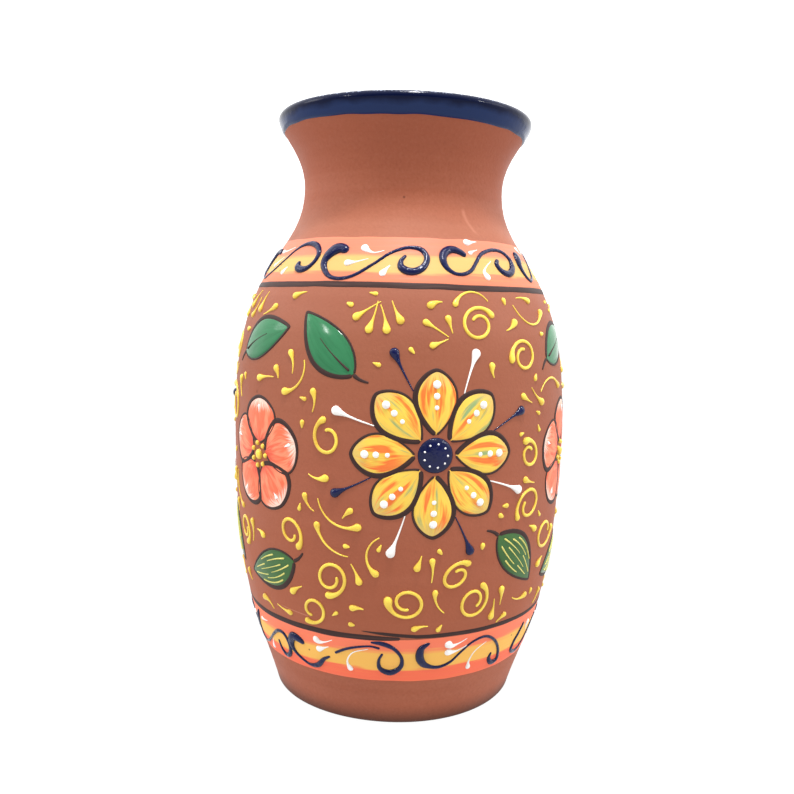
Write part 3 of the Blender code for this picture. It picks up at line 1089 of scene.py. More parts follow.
@dataclass(frozen=True)
class Terracotta(Finish):
    """Bare fired clay: matte, cloudy, finely grained, with a few pits.

    It is browner in the panel. Painted light is mixed in by height: a pinker painted sheen low on the neck,
    a darker painted shadow under the lip and a dark painted contact shadow at the foot.
    """

    warm: Tone = tone(166, 93, 67)
    brown: Tone = tone(157, 86, 62)
    pale: Tone = tone(200, 134, 110)
    dark: Tone = tone(70, 42, 33)
    # Painted contact shadow: the dark colour mixed in at the foot's bottom edge.
    edge: Tone = tone(50, 31, 25)
    # Painted sheen: a paler, pinker colour where the overhead light falls on the low neck.
    neck_sheen: Tone = tone(171, 119, 96)
    # Painted shadow: the darker colour mixed in under the lip.
    shade: Tone = tone(143, 77, 55)
    panel: tuple[Stop, ...] = (
        (0.08, tone(165, 93, 66)),
        (0.47, tone(156, 91, 69)),
        (0.82, tone(137, 85, 64)),
        (0.94, tone(144, 92, 73)),
    )
    panel_ends: Spot = (0.0400, 0.1680)
    panel_low: Show = Show(0.0385, 0.0410)
    panel_high: Show = Show(0.1700, 0.1680, 0.55)
    shoulder: Show = Show(0.1680, 0.1720)
    # Heights where the painted sheen shows on the low neck.
    neck_sheen_zone: Show = Show(0.2040, 0.1920, 0.3)
    # Heights where the painted shadow shows under the lip.
    lip_shadow: Show = Show(0.2060, 0.2220, 0.35)
    # Heights, fall-off and strength of the painted contact shadow at the foot.
    foot: Show = Show(0.0090, 0.0)
    foot_shadow_fall: float = 1.4
    foot_shadow_most: float = 0.95
    chip: Triple = (0.0002, -0.0421, 0.2019)
    chip_shows: Show = Show(0.00065, 0.00030, 0.55)
    scuffs: tuple[Scuff, ...] = (
        Scuff(2, 0, (0.1990, 0.0226), (0.1887, 0.0287), 1.8, Show(0.0009, 0.0002, 0.36)),
        Scuff(0, 2, (-0.0437, 0.0456), (-0.0311, 0.0445), 1.0, Show(0.0003, 0.0001, 0.55)),
    )
    cloud_scale: float = 16.0
    clouds: Show = Show(0.32, 0.68)
    ring_scale: Triple = (6.0, 6.0, 190.0)
    rings: Show = Show(0.45, 0.75, 0.10)
    grain_scale: float = 900.0
    pale_grain: Show = Show(0.52, 0.75, 0.10)
    dark_grain: Show = Show(0.46, 0.28, 0.12)
    pits: Specks = Specks(95.0, Show(0.07, 0.045), 60.0, Show(0.66, 0.70))
    pit_most: float = 0.75
    pit_depth: float = 1.6
    rough_scale: float = 55.0
    roughness: Spot = (0.50, 0.64)
    skin: Triple = (0.20, 0.0004, 0.16)

    def zones(self, graph: Graph, colour: Socket, height: Socket) -> Socket:
        """The clay's colour, changed by height.

        Args:
            graph: the material's nodes.
            colour: the colour of plain clay.
            height: heights up the vase.

        Returns:
            The colour with the panel mixed in, and with painted light: the pinker painted sheen on the low
            neck, the painted shadow under the lip and the painted contact shadow at the foot.
        """
        above = graph.shown(height, self.panel_low)
        in_panel = graph.sum("MULTIPLY", above, graph.shown(height, self.panel_high))
        panel = graph.ramp(graph.spread(height, *self.panel_ends), self.panel)
        colour = graph.mix(in_panel, colour, panel)
        # Painted sheen: pinker low on the neck, above the panel.
        over_panel = graph.shown(height, self.shoulder)
        neck_sheen_zone = graph.sum("MULTIPLY", graph.shown(height, self.neck_sheen_zone), over_panel)
        colour = graph.mix(neck_sheen_zone, colour, self.neck_sheen)
        # Painted shadow under the lip.
        colour = graph.tint(colour, self.shade, height, self.lip_shadow)
        # Painted contact shadow: darker towards the foot's bottom edge.
        foot_shadow = graph.sum("POWER", graph.shown(height, self.foot), self.foot_shadow_fall)
        return graph.mix(graph.sum("MULTIPLY", foot_shadow, self.foot_shadow_most), colour, self.edge)

    def material(self) -> Material:
        """Builds the nodes.

        Returns:
            The material.
        """
        graph = Graph("terracotta")
        spot = graph.place()
        clouds = graph.noise(spot, self.cloud_scale, 4)
        colour = graph.tint(self.brown, self.warm, clouds, self.clouds)
        rings = graph.noise(graph.place(self.ring_scale), 1.0, 2)
        colour = graph.tint(colour, self.pale, rings, self.rings)
        grain = graph.noise(spot, self.grain_scale)
        colour = graph.tint(colour, self.pale, grain, self.pale_grain)
        colour = graph.tint(colour, self.dark, grain, self.dark_grain)
        pits = self.pits.share(graph)
        colour = graph.mix(graph.sum("MULTIPLY", pits, self.pit_most), colour, self.dark)
        parts = graph.parts(spot)
        colour = self.zones(graph, colour, parts[2])
        for scuff in self.scuffs:
            colour = graph.mix(scuff.share(graph, parts), colour, self.pale)
        chip = graph.add("VectorMath", {0: spot, 1: self.chip}, operation="DISTANCE")["Value"]
        colour = graph.tint(colour, self.dark, chip, self.chip_shows)
        rough = graph.even(graph.noise(spot, self.rough_scale), self.roughness)
        depth = graph.sum("SUBTRACT", grain, graph.sum("MULTIPLY", pits, self.pit_depth))
        return self.coat(graph, colour, rough, depth)


@dataclass(frozen=True)
class CobaltGlaze(Finish):
    """Deep blue dipped glaze: navy over the lip, bluer where it runs thin below, with pale painted glints
    along the top of the lip.
    """

    navy: Tone = tone(6, 15, 47)
    blue: Tone = tone(30, 47, 88)
    thin: Tone = tone(34, 53, 102)
    # Painted glints: the pale colour of specks along the lip's crest.
    painted_glint: Tone = tone(160, 170, 192)
    run: tuple[Stop, ...] = ((0.0, thin), (0.03, blue), (0.15, blue), (0.23, navy), (0.9, navy))
    cloud_scale: float = 110.0
    cloud_sway: float = 0.025
    cloud_span: Spot = (0.3, 0.8)
    crest: float = 0.43
    crest_shows: Show = Show(0.050, 0.022)
    crest_scale: float = 1100.0
    # How fine the painted glint specks are, and how many of them show.
    glint_scale: float = 1300.0
    glint_specks: Show = Show(0.54, 0.64, 0.75)
    peel_scale: float = 420.0
    roughness: Spot = (0.10, 0.20)
    skin: Triple = (0.16, 0.0005, 0.13)

    def material(self) -> Material:
        """Builds the nodes. The chart's first coordinate is 0 at the outer edge and 1 at the inner edge.

        Returns:
            The material.
        """
        graph = Graph("cobalt_glaze")
        spot = graph.place()
        over = graph.parts(graph.chart())[0]
        cloudy = graph.noise(spot, self.cloud_scale)
        run = graph.ramp(graph.swayed(over, cloudy, self.cloud_sway), self.run)
        # Painted glints: pale specks mixed in along the crest of the lip.
        near = graph.shown(graph.apart(over, self.crest), self.crest_shows)
        glint_specks = graph.shown(graph.noise(spot, self.glint_scale, 2), self.glint_specks)
        colour = graph.mix(graph.sum("MULTIPLY", near, glint_specks), run, self.painted_glint)
        rough_crest = graph.sum("MULTIPLY", near, graph.noise(spot, self.crest_scale, 2))
        peel = graph.sum("ADD", graph.noise(spot, self.peel_scale, 2), rough_crest)
        rough = graph.spread(cloudy, *self.cloud_span, self.roughness)
        return self.coat(graph, colour, rough, peel)


@dataclass(frozen=True)
class ClearGlaze(Finish):
    """Clear sealing glaze over red clay, with a little pooling."""

    wet: Tone = tone(146, 72, 48)
    pooled: Tone = tone(118, 54, 36)
    cloud_scale: float = 22.0
    cloud_span: Spot = (0.2, 0.8)
    peel_scale: float = 260.0
    roughness: Spot = (0.16, 0.30)
    skin: Triple = (0.18, 0.0005, 0.5)

    def material(self) -> Material:
        """Builds the nodes.

        Returns:
            The material.
        """
        graph = Graph("clear_glaze")
        spot = graph.place()
        clouds = graph.even(graph.noise(spot, self.cloud_scale, 4))
        colour = graph.mix(clouds, self.pooled, self.wet)
        rough = graph.spread(clouds, *self.cloud_span, self.roughness)
        return self.coat(graph, colour, rough, graph.noise(spot, self.peel_scale, 2))


@dataclass(frozen=True)
class BandPaint(Finish):
    """Three brushed stripes that run into each other, with streaks along the brush.

    Args:
        name: the material's name.
        shades: colours of the stripes, from the bottom up.
        edges: shares of the band's height where the stripes meet.
        blends: how far they run into each other there.
        bare: clay that shows through thin paint.
        dirt: colour of a few specks.
    """

    name: str
    shades: tuple[Tone, ...]
    edges: Spot
    blends: Spot = (0.025, 0.05)
    bare: Tone = tone(205, 116, 84)
    dirt: Tone = tone(92, 52, 42)
    drift_scale: Triple = (34.0, 34.0, 73.0)
    drift_sway: float = 0.05
    streak_scale: Triple = (26.0, 26.0, 1460.0)
    streak_sway: float = 0.035
    streaks: Show = Show(0.56, 0.80, 0.22)
    thin_scale: Triple = (60.0, 60.0, 305.0)
    thins: Show = Show(0.62, 0.82, 0.20)
    grit: Specks = Specks(260.0, Show(0.12, 0.08), 70.0, Show(0.64, 0.68))
    grit_most: float = 0.8
    roughness: Spot = (0.48, 0.66)
    skin: Triple = (0.16, 0.0003, 0.35)

    def material(self) -> Material:
        """Builds the nodes. The chart's second coordinate is the share of the band's height.

        Returns:
            The material.
        """
        graph = Graph(self.name)
        drift = graph.noise(graph.place(self.drift_scale), 1.0)
        streak = graph.noise(graph.place(self.streak_scale), 1.0, 4)
        share = graph.swayed(graph.parts(graph.chart())[1], drift, self.drift_sway)
        share = graph.swayed(share, streak, self.streak_sway)
        stops = [(0.0, self.shades[0])]
        for edge, blend, under, over in zip(self.edges, self.blends, self.shades, self.shades[1:]):
            stops += [(edge - blend, under), (edge + blend, over)]
        colour = graph.tint(graph.ramp(share, stops), self.shades[1], streak, self.streaks)
        thin = graph.noise(graph.place(self.thin_scale), 1.0, 4)
        colour = graph.tint(colour, self.bare, thin, self.thins)
        grit = graph.sum("MULTIPLY", self.grit.share(graph), self.grit_most)
        colour = graph.mix(grit, colour, self.dirt)
        return self.coat(graph, colour, graph.even(streak, self.roughness), streak)


@dataclass(frozen=True)
class BrushedLine(Finish):
    """Dark brown brushed paint, thinner and browner in places."""

    dark: Tone = tone(60, 42, 40)
    thin: Tone = tone(88, 65, 60)
    drag_scale: Triple = (60.0, 3.0, 1.0)
    thins: Show = Show(0.5, 0.8, 0.8)
    roughness: Spot = (0.45, 0.62)
    skin: Triple = (0.15, 0.0002, 0.15)

    def material(self) -> Material:
        """Builds the nodes.

        Returns:
            The material.
        """
        graph = Graph("line_paint")
        drag = graph.noise(graph.chart(self.drag_scale), 1.0)
        colour = graph.tint(self.dark, self.thin, drag, self.thins)
        return self.coat(graph, colour, graph.even(drag, self.roughness), drag)


@dataclass(frozen=True)
class Slip(Finish):
    """Trailed slip, glossy and a little lumpy, whose colour thins out towards its edges.

    Args:
        name: the material's name.
        full: colour where the bead is thick.
        thin: colour at its edges and in patches.
        rough: its roughness.
        grain: how fine its lumps are.
        skin: strength and depth of its lumps, and level of its gloss.
        span: how far the roughness falls and rises, as shares.
    """

    name: str
    full: Tone
    thin: Tone
    rough: float
    grain: float = 330.0
    skin: Triple = (0.30, 0.0005, 0.3)
    span: Spot = (0.7, 1.5)
    patch_scale: float = 120.0
    patches: Show = Show(0.42, 0.72, 0.6)
    edge: Show = Show(0.28, 0.5, 0.9)

    def material(self) -> Material:
        """Builds the nodes. The chart's second coordinate runs across from 0 to 1.

        Returns:
            The material.
        """
        graph = Graph(self.name)
        spot = graph.place()
        lumps = graph.noise(spot, self.grain)
        patches = graph.shown(graph.noise(spot, self.patch_scale, 2), self.patches)
        edge = graph.shown(graph.apart(graph.parts(graph.chart())[1], 0.5), self.edge)
        colour = graph.mix(graph.sum("MAXIMUM", patches, edge), self.full, self.thin)
        low, high = self.span
        rough = graph.even(lumps, (self.rough * low, self.rough * high))
        return self.coat(graph, colour, rough, lumps)


@dataclass(frozen=True)
class PetalPaint(Finish):
    """Petal paint pulled from base to tip with a loaded brush, so its colours lie in streaks.

    Args:
        name: the material's name.
        streaks: colours across the brush.
        base: colour near the flower's middle.
        tip: colour dragged in at the tip.
        at_tip: how much of the tip's colour shows, by the share of the petal.
        at_base: how much of the base's colour shows.
    """

    name: str
    streaks: tuple[Tone, ...]
    base: Tone
    tip: Tone
    at_tip: Show = Show(0.72, 0.90, 0.92)
    at_base: Show = Show(0.30, 0.08, 0.85)
    brush_scale: Triple = (1.1, 4.6, 1.0)
    brush_span: Spot = (0.26, 0.74)
    hair_scale: Triple = (3.0, 44.0, 1.0)
    hair_sway: float = 0.1
    end_sway: float = 0.16
    roughness: Spot = (0.40, 0.58)
    skin: Triple = (0.30, 0.0003, 0.4)

    def material(self) -> Material:
        """Builds the nodes. The chart is a whole number for the petal plus the share along it, and across.

        Returns:
            The material.
        """
        graph = Graph(self.name)
        along = graph.sum("FRACT", graph.parts(graph.chart())[0], 0.0)
        brush = graph.noise(graph.chart(self.brush_scale), 1.0, 2)
        hair = graph.noise(graph.chart(self.hair_scale), 1.0, 4)
        value = graph.swayed(graph.spread(brush, *self.brush_span), hair, self.hair_sway)
        count = len(self.streaks)
        colour = graph.ramp(value, [((k + 0.5) / count, shade) for k, shade in enumerate(self.streaks)])
        ragged = graph.swayed(along, hair, self.end_sway)
        colour = graph.tint(colour, self.tip, ragged, self.at_tip)
        colour = graph.tint(colour, self.base, ragged, self.at_base)
        return self.coat(graph, colour, graph.even(hair, self.roughness), hair)


@dataclass(frozen=True)
class LeafEnamel(Finish):
    """Thick glossy green enamel, a little cloudy, deeper in brush marks and along its edge.

    Args:
        name: the material's name.
        green: its colour.
        deep: its colour in brush marks and along the edge.
    """

    name: str
    green: Tone
    deep: Tone
    brush_scale: Triple = (2.5, 7.0, 1.0)
    marks: Show = Show(0.45, 0.75, 0.55)
    edge: Show = Show(0.36, 0.5, 0.7)
    lump_scale: float = 210.0
    roughness: Spot = (0.10, 0.20)
    skin: Triple = (0.20, 0.0005, 0.2)

    def material(self) -> Material:
        """Builds the nodes. The chart runs from base to tip, and across from 0 to 1.

        Returns:
            The material.
        """
        graph = Graph(self.name)
        brush = graph.noise(graph.chart(self.brush_scale), 1.0)
        marks = graph.shown(brush, self.marks)
        edge = graph.shown(graph.apart(graph.parts(graph.chart())[1], 0.5), self.edge)
        colour = graph.mix(graph.sum("MAXIMUM", marks, edge), self.green, self.deep)
        lumps = graph.noise(graph.place(), self.lump_scale, 2)
        return self.coat(graph, colour, graph.even(brush, self.roughness), lumps)


@dataclass(frozen=True)
class Palette:
    """Every finish's material, made once."""

    clay: Material
    cobalt: Material
    clear: Material
    line: Material
    leaf: Material
    dark_leaf: Material
    blue: Material
    yellow: Material
    white: Material
    green: Material
    upper: Material
    lower: Material
    petal: Material
    coral: Material

    @classmethod
    def mixed(cls) -> "Palette":
        """Mixes every finish.

        Returns:
            The palette, which holds the finishes' materials.
        """
        dahlia = tone(244, 128, 52), tone(242, 116, 44), tone(244, 206, 78), tone(240, 198, 82)
        dahlia += (tone(146, 170, 112),)
        rose = tone(246, 122, 84), tone(242, 104, 66), tone(250, 146, 108), tone(238, 92, 58)
        salmon = tone(213, 119, 87), tone(213, 169, 97), tone(212, 124, 95)
        coral = tone(248, 109, 74), tone(246, 186, 86), tone(248, 124, 90)
        white_tip = Show(0.74, 0.92, 0.92)
        blue_skin = 0.7, 0.0005, 0.3
        finishes: dict[str, Finish] = {
            "clay": Terracotta(),
            "cobalt": CobaltGlaze(),
            "clear": ClearGlaze(),
            "line": BrushedLine(),
            "leaf": LeafEnamel("leaf_enamel", tone(56, 122, 82), tone(38, 98, 62)),
            "dark_leaf": LeafEnamel("dark_leaf_enamel", tone(66, 106, 58), tone(48, 84, 46)),
            "blue": Slip("blue_slip", tone(13, 20, 68), tone(16, 22, 56), 0.08, 620.0, blue_skin),
            "yellow": Slip("yellow_slip", tone(246, 217, 84), tone(214, 161, 60), 0.25),
            "white": Slip("white_slip", tone(252, 251, 249), tone(232, 224, 218), 0.3),
            "green": Slip("vein_slip", tone(226, 216, 120), tone(176, 184, 88), 0.35),
            "upper": BandPaint("upper_band_paint", salmon, (0.20, 0.60)),
            "lower": BandPaint("lower_band_paint", coral, (0.30, 0.69)),
            "petal": PetalPaint("petal_paint", dahlia, tone(238, 190, 74), tone(224, 190, 104)),
            "coral": PetalPaint("coral_paint", rose, tone(214, 66, 44), tone(252, 222, 206), white_tip),
        }
        return cls(**{name: finish.material() for name, finish in finishes.items()})


# Sub-assemblies


def settle(name: str, shells: list[Shell], finish: Material, slot: str, *nodes: str) -> None:
    """Puts shells into the scene as one piece, and ties it to the frame.

    Args:
        name: the piece's name.
        shells: its shells.
        finish: its material.
        slot: the record's material slot that it stands for; not used.
        nodes: names of the solids that it replaces.
    """
    piece = Shell.join(shells).piece(name, finish)
    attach(piece, ROOT)
    if nodes:
        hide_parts(*nodes)
    LOG.info("%s: %d faces", piece.name, len(piece.data.polygons))


def lip_path(lift: Array | float, outside: Array, inside: Array, round_steps: int) -> tuple[Array, Array]:
    """Radii and heights of a path over the lip, a lift off the clay.

    It climbs the outside to the lip's edge, goes over a half circle as wide as the lip and down the inside.

    Args:
        lift: distance off the clay at each step, or one for all.
        outside: heights up the outside, ending below the edge, in the last axis.
        inside: heights down the inside, starting below the edge, in the last axis.
        round_steps: steps over the round.

    Returns:
        Radii and heights, with the steps in the last axis.
    """
    half = WALL.lip_thickness / 2
    lean = WALL.lip_lean
    swing = np.linspace(-lean, math.pi - lean, round_steps)
    climbs = outside.shape[-1]
    lifts = np.broadcast_to(lift, (*outside.shape[:-1], climbs + round_steps + inside.shape[-1]))
    first, over, last = np.split(lifts, [climbs, climbs + round_steps], axis=-1)
    radial, upward = WALL.normal(outside)
    climb = (WALL.radius(outside) + first * radial, outside + first * upward)
    middle_r = WALL.lip_radius - half * math.cos(lean)
    middle_z = WALL.lip_height + half * math.sin(lean)
    round_ = (middle_r + (half + over) * np.cos(swing), middle_z + (half + over) * np.sin(swing))
    radial, upward = WALL.normal(inside)
    inset = WALL.depth(inside) + last
    fall = (WALL.radius(inside) - inset * radial, inside - inset * upward)
    radii, heights = zip(climb, round_, fall)
    return np.concatenate(radii, axis=-1), np.concatenate(heights, axis=-1)


# Radius inside which the waver of a turned piece fades out towards the axis.
STEADY_RADIUS = 0.03


def turned(radius: Array, z: Array, follow: Array) -> Shell:
    """A turned outline that wavers with the wall.

    Args:
        radius: the outline's radii.
        z: its heights.
        follow: heights on the outside whose waver each ring takes.

    Returns:
        The shell, charted by height and share of a turn.
    """
    angle = turn_angles()
    fade = np.minimum(radius / STEADY_RADIUS, 1.0)[:, None]
    reach = radius[:, None] + WALL.ripple(angle[None, :], follow[:, None]) * fade
    height, turn = np.broadcast_arrays(z[:, None], angle / math.tau)
    rings = np.stack([reach * np.cos(angle), reach * np.sin(angle), height], axis=-1)
    return Shell.loft(rings, np.stack([height, turn], axis=-1))


@dataclass
class ClayBody:
    """The clay shell and the clear glaze that seals its inside."""

    palette: Palette
    outside_steps: int = 150
    inside_steps: int = 90
    round_steps: int = 15
    fall_steps: int = 8
    corner_steps: int = 9
    floor_steps: int = 14
    foot_steps: int = 8
    base_steps: int = 12
    corner_gap: float = 0.0008
    lining_top: float = 0.0100
    lining_tuck: float = 0.0006
    lining: float = 0.0003
    middle_radius: float = 0.0004

    def inside_outline(self, inset: float, top: float) -> tuple[Array, Array, Array]:
        """An outline from below the lip down to the floor's middle.

        The wall is the outside moved in along its normal, and a quarter circle turns it into the floor.

        Args:
            inset: distance off the clay.
            top: height where it starts.

        Returns:
            Radii, heights, and the heights on the outside whose waver they take.
        """
        floor = WALL.floor + inset
        fillet = WALL.floor_fillet - inset
        corner = floor + fillet
        heights = np.linspace(top, corner + self.corner_gap, self.inside_steps)
        radial, upward = WALL.normal(heights)
        depth = WALL.depth(heights) + inset
        radius, z = WALL.radius(heights) - depth * radial, heights - depth * upward
        swing = np.linspace(0.0, -math.pi / 2, self.corner_steps)[1:]
        lean = float(WALL.normal(np.array(corner))[0])
        middle = float(WALL.radius(np.array(corner))) - (WALL.thickness + inset) * lean - fillet
        flat = np.linspace(middle, self.middle_radius, self.floor_steps)[1:]
        return (
            np.concatenate([radius, middle + fillet * np.cos(swing), flat]),
            np.concatenate([z, corner + fillet * np.sin(swing), np.full(len(flat), floor)]),
            np.concatenate([heights, np.full(len(swing) + len(flat), corner)]),
        )

    def outside_outline(self, low: float) -> tuple[Array, Array, Array]:
        """An outline from inside the lip, over it and down the outside, to the middle of the base.

        Args:
            low: height inside where it starts, below the lip.

        Returns:
            Radii, heights, and the heights on the outside whose waver they take.
        """
        up = np.linspace(WALL.foot_height, WALL.lip_height, self.outside_steps)[:-1]
        down = np.linspace(WALL.lip_height, low, self.fall_steps)[1:-1]
        radius, z = lip_path(0.0, up, down, self.round_steps)
        follow = np.concatenate([up, np.full(self.round_steps, WALL.lip_height), down])
        swing = np.linspace(-WALL.foot_lean, -math.pi / 2, self.foot_steps)[1:]
        base = WALL.foot_radius - WALL.foot_rounding * math.cos(WALL.foot_lean)
        flat = np.linspace(base, self.middle_radius, self.base_steps)[1:]
        foot_z = np.maximum(WALL.foot_rounding * (1 + np.sin(swing)), 0.0)
        return (
            np.concatenate([radius[::-1], base + WALL.foot_rounding * np.cos(swing), flat]),
            np.concatenate([z[::-1], foot_z, np.zeros(len(flat))]),
            np.concatenate([follow[::-1], np.full(len(swing) + len(flat), WALL.foot_height)]),
        )

    def build_clay(self) -> None:
        """The shell: from the floor's middle up the inside, over the lip and down to the base."""
        low = WALL.lip_height - self.lining_top
        sides = zip(self.inside_outline(0.0, low), self.outside_outline(low))
        shell = turned(*(np.concatenate([inner[::-1], outer]) for inner, outer in sides))
        settle("clay_shell", [shell], self.palette.clay, "terracotta", "vase_body")

    def build_lining(self) -> None:
        """The clear glaze as a thin cup between two insets, sunk a little into the clay."""
        top = WALL.lip_height - self.lining_top + self.lining_tuck
        sides = zip(self.inside_outline(self.lining, top), self.inside_outline(-SINK, top))
        shell = turned(*(np.concatenate([inner[::-1], outer]) for inner, outer in sides))
        settle("clear_lining", [shell], self.palette.clear, "clear_glaze", "inner_glaze")

    def build(self) -> None:
        """Builds and dresses both."""
        self.build_clay()
        self.build_lining()


@dataclass
class RimGlaze:
    """Cobalt glaze folded over the lip, with a wavering lower edge and a thicker roll along it."""

    palette: Palette
    outside: float = 0.0057
    tilt: float = 0.0008
    inside: float = 0.0100
    thickness: float = 0.00042
    edge_rise: float = 0.0005
    edge_sink: float = 0.00004
    roll: float = 0.00016
    roll_place: float = 0.0011
    roll_width: float = 0.0007
    waver: float = 0.00028
    seed: int = 5
    inside_waves: int = 4
    steps: int = 14
    round_steps: int = 21

    def build(self) -> None:
        """The coat as rings round its own section, one section at each angle.

        The dip line is a little lower on the vase's right, as a cosine of the angle. The coat's thickness
        rises from its edge as one less a falling exponential, plus a small bump for the roll.
        """
        angle = turn_angles()[:, None]
        drop = self.outside + self.tilt * np.cos(angle) + self.waver * smooth_noise(angle, self.seed)
        fall = self.inside + 2 * self.waver * smooth_noise(angle, self.seed + 1, self.inside_waves)
        share = eased(self.steps)
        up = WALL.lip_height - drop * (1 - share[:-1])
        down = WALL.lip_height - fall * share[1:]
        path = np.stack(lip_path(0.0, up, down, self.round_steps), axis=-1)
        stride = np.linalg.norm(np.diff(path, axis=1), axis=-1)
        travel = np.cumsum(np.pad(stride, ((0, 0), (1, 0))), axis=1)
        from_edge = np.minimum(travel, travel[:, -1:] - travel)
        roll = self.roll * np.exp(-(((from_edge - self.roll_place) / self.roll_width) ** 2))
        skin = self.thickness * (1 - np.exp(-from_edge / self.edge_rise)) + roll - self.edge_sink
        sides = [lip_path(lift, up, down, self.round_steps) for lift in (skin, -2 * SINK)]
        radius, z = (np.concatenate([out, back[:, ::-1]], axis=1) for out, back in zip(*sides))
        reach = radius + WALL.ripple(angle, np.minimum(z, WALL.lip_height))
        rings = np.stack([reach * np.cos(angle), reach * np.sin(angle), z], axis=-1)
        along = np.linspace(0, 1, path.shape[1])
        along = np.concatenate([along, along[::-1]])
        chart = np.stack(np.broadcast_arrays(along[None, :], angle / math.tau), axis=-1)
        shell = Shell.loft(rings, chart, closed=True)
        settle("cobalt_rim", [shell], self.palette.cobalt, "cobalt_glaze", "rim_glaze")


@dataclass(frozen=True)
class BrushLine:
    """One brush stroke round the vase.

    Args:
        start: angle where the brush was set down.
        sweep: angle that it covers, a little more than a full turn.
        heights: shares of the way along it, and its height above the band's edge there.
        widths: shares of the way along it, and its width there.
    """

    start: float
    sweep: float
    heights: tuple[Spot, ...]
    widths: tuple[Spot, ...]


@dataclass
class PaintedBorder:
    """One border: painted band, brushed line, raised scrolls and white drops.

    Args:
        palette: the finishes.
        side: which border it is.
        low: height of the band's bottom.
        high: height of the band's top.
        first_angle: angle of the first scroll's middle.
        seed: start of its hand-made differences.
        scrolls: its scrolls, in order round the vase.
        line: the dark line on its inner edge.
        tuck: how far the band reaches under the line.
        tuck_tilt: how much further it reaches on the vase's right, as a share.
        behind: numbers of the scrolls that are drawn again behind, each with a sway of its own.
    """

    palette: Palette
    side: Border
    low: float
    high: float
    first_angle: float
    seed: int
    scrolls: tuple[Scroll, ...]
    line: BrushLine
    tuck: float
    tuck_tilt: float = 0.0
    behind: range = range(3, 7)
    sway: float = 0.016
    paint: float = 0.00007
    paint_sink: float = 0.00002
    paint_steps: int = 16
    paint_edge: float = 0.02
    edge_waver: float = 0.00025
    line_steps: int = 480
    line_waver: float = 0.00014
    line_swell: float = 0.10
    line_waves: int = 14
    line_height: float = 0.00016
    scroll_relief: Spot = (0.32, 0.00016)
    scroll_lumps: Spot = (0.07, 60.0)
    scroll_waves: int = 5
    scroll_steps: int = 40
    stroke_steps: int = 6
    drop_relief: Spot = (0.24, 0.00012)
    drop_change: Spot = (0.94, 1.06)
    drop_tail: float = 0.0008
    drop_steps: int = 26

    @property
    def ring(self) -> float:
        """Radius of the band's middle."""
        return float(WALL.radius(np.array((self.low + self.high) / 2)))

    def build_band(self) -> None:
        """The band as a thin ring: out across its skin and back under it, between wavering edges."""
        angle = turn_angles()
        share = eased(self.paint_steps)
        under = self.tuck * (1 + self.tuck_tilt * np.cos(angle))
        upper = self.side is Border.UPPER
        bottom = self.low + self.edge_waver * smooth_noise(angle, self.seed) - (under if upper else 0.0)
        top = self.high + self.edge_waver * smooth_noise(angle, self.seed + 1) + (0.0 if upper else under)
        heights = bottom[:, None] + (top - bottom)[:, None] * share
        from_edge = np.minimum(share, 1 - share)
        skin = self.paint * np.clip(from_edge / self.paint_edge, 0, 1) - self.paint_sink
        out = WALL.place(angle[:, None], heights, skin)
        back = WALL.place(angle[:, None], heights, -SINK)[:, ::-1]
        across = np.concatenate([share, share[::-1]])
        chart = np.stack(np.broadcast_arrays(angle[:, None] * self.ring, across[None, :]), axis=-1)
        shell = Shell.loft(np.concatenate([out, back], axis=1), chart, closed=True)
        name = f"{self.side.value}_band"
        finish = self.palette.upper if upper else self.palette.lower
        settle(f"{name}_paint", [shell], finish, "band_paint", name)

    def build_line(self) -> None:
        """The dark line as one brush stroke, whose height and width waver on the way round."""
        share = np.linspace(0.0, 1.0, self.line_steps)
        angle = self.line.start + share * self.line.sweep
        edge = self.low if self.side is Border.UPPER else self.high
        middle = edge + np.interp(share, *np.array(self.line.heights).T)
        width = np.interp(share, *np.array(self.line.widths).T)
        middle = middle + self.line_waver * smooth_noise(angle, self.seed + 2)
        width = width * (1 + self.line_swell * smooth_noise(angle, self.seed + 3, self.line_waves))
        shell = bead(angle, middle, width, np.full(self.line_steps, self.line_height))
        name = f"{self.side.value}_line"
        settle(f"{name}_stroke", [shell], self.palette.line, "line_paint", name)

    def laid(self, turn: int, across: Array, up: Array) -> Array:
        """Lays a drawing on the band.

        Args:
            turn: number of the scroll's room, counted round the vase.
            across: shares of the room's width.
            up: shares of the band's height.

        Returns:
            Rows of metres round the vase and height.
        """
        pitch = math.tau / len(self.scrolls)
        angle = self.first_angle + pitch * (turn + across - 0.5)
        height = self.low + up * (self.high - self.low)
        return np.stack([angle * self.ring, height], axis=1)

    def build_scrolls(self) -> None:
        """Every scroll as beads of slip, a little lumpy."""
        draw = np.random.default_rng(self.seed)
        rise, base = self.scroll_relief
        lumps, pitch = self.scroll_lumps
        for turn, drawn in enumerate(self.scrolls):
            loose = self.sway * (turn in self.behind)
            shells = []
            for stroke in drawn.strokes:
                across, up, width = np.array(stroke).T / HUNDREDTHS
                travel = np.linspace(0.0, math.tau, len(across))
                across = across + loose * np.sin(travel + draw.uniform(0, math.tau))
                up = up + 2 * loose * np.sin(travel + draw.uniform(0, math.tau))
                points = np.column_stack([self.laid(turn, across, up), width * CENTIMETRE])
                steps = self.scroll_steps + self.stroke_steps * len(points)
                around, z, wide = smooth(points, steps).T
                lumpy = 1 + lumps * smooth_noise(around * pitch, self.seed + turn, self.scroll_waves)
                shells.append(bead(around / self.ring, z, wide * lumpy, rise * wide + base))
            node = f"{self.side.value}_scroll_{turn + 1}"
            settle(f"{node}_bead", shells, self.palette.blue, "blue_slip", node)

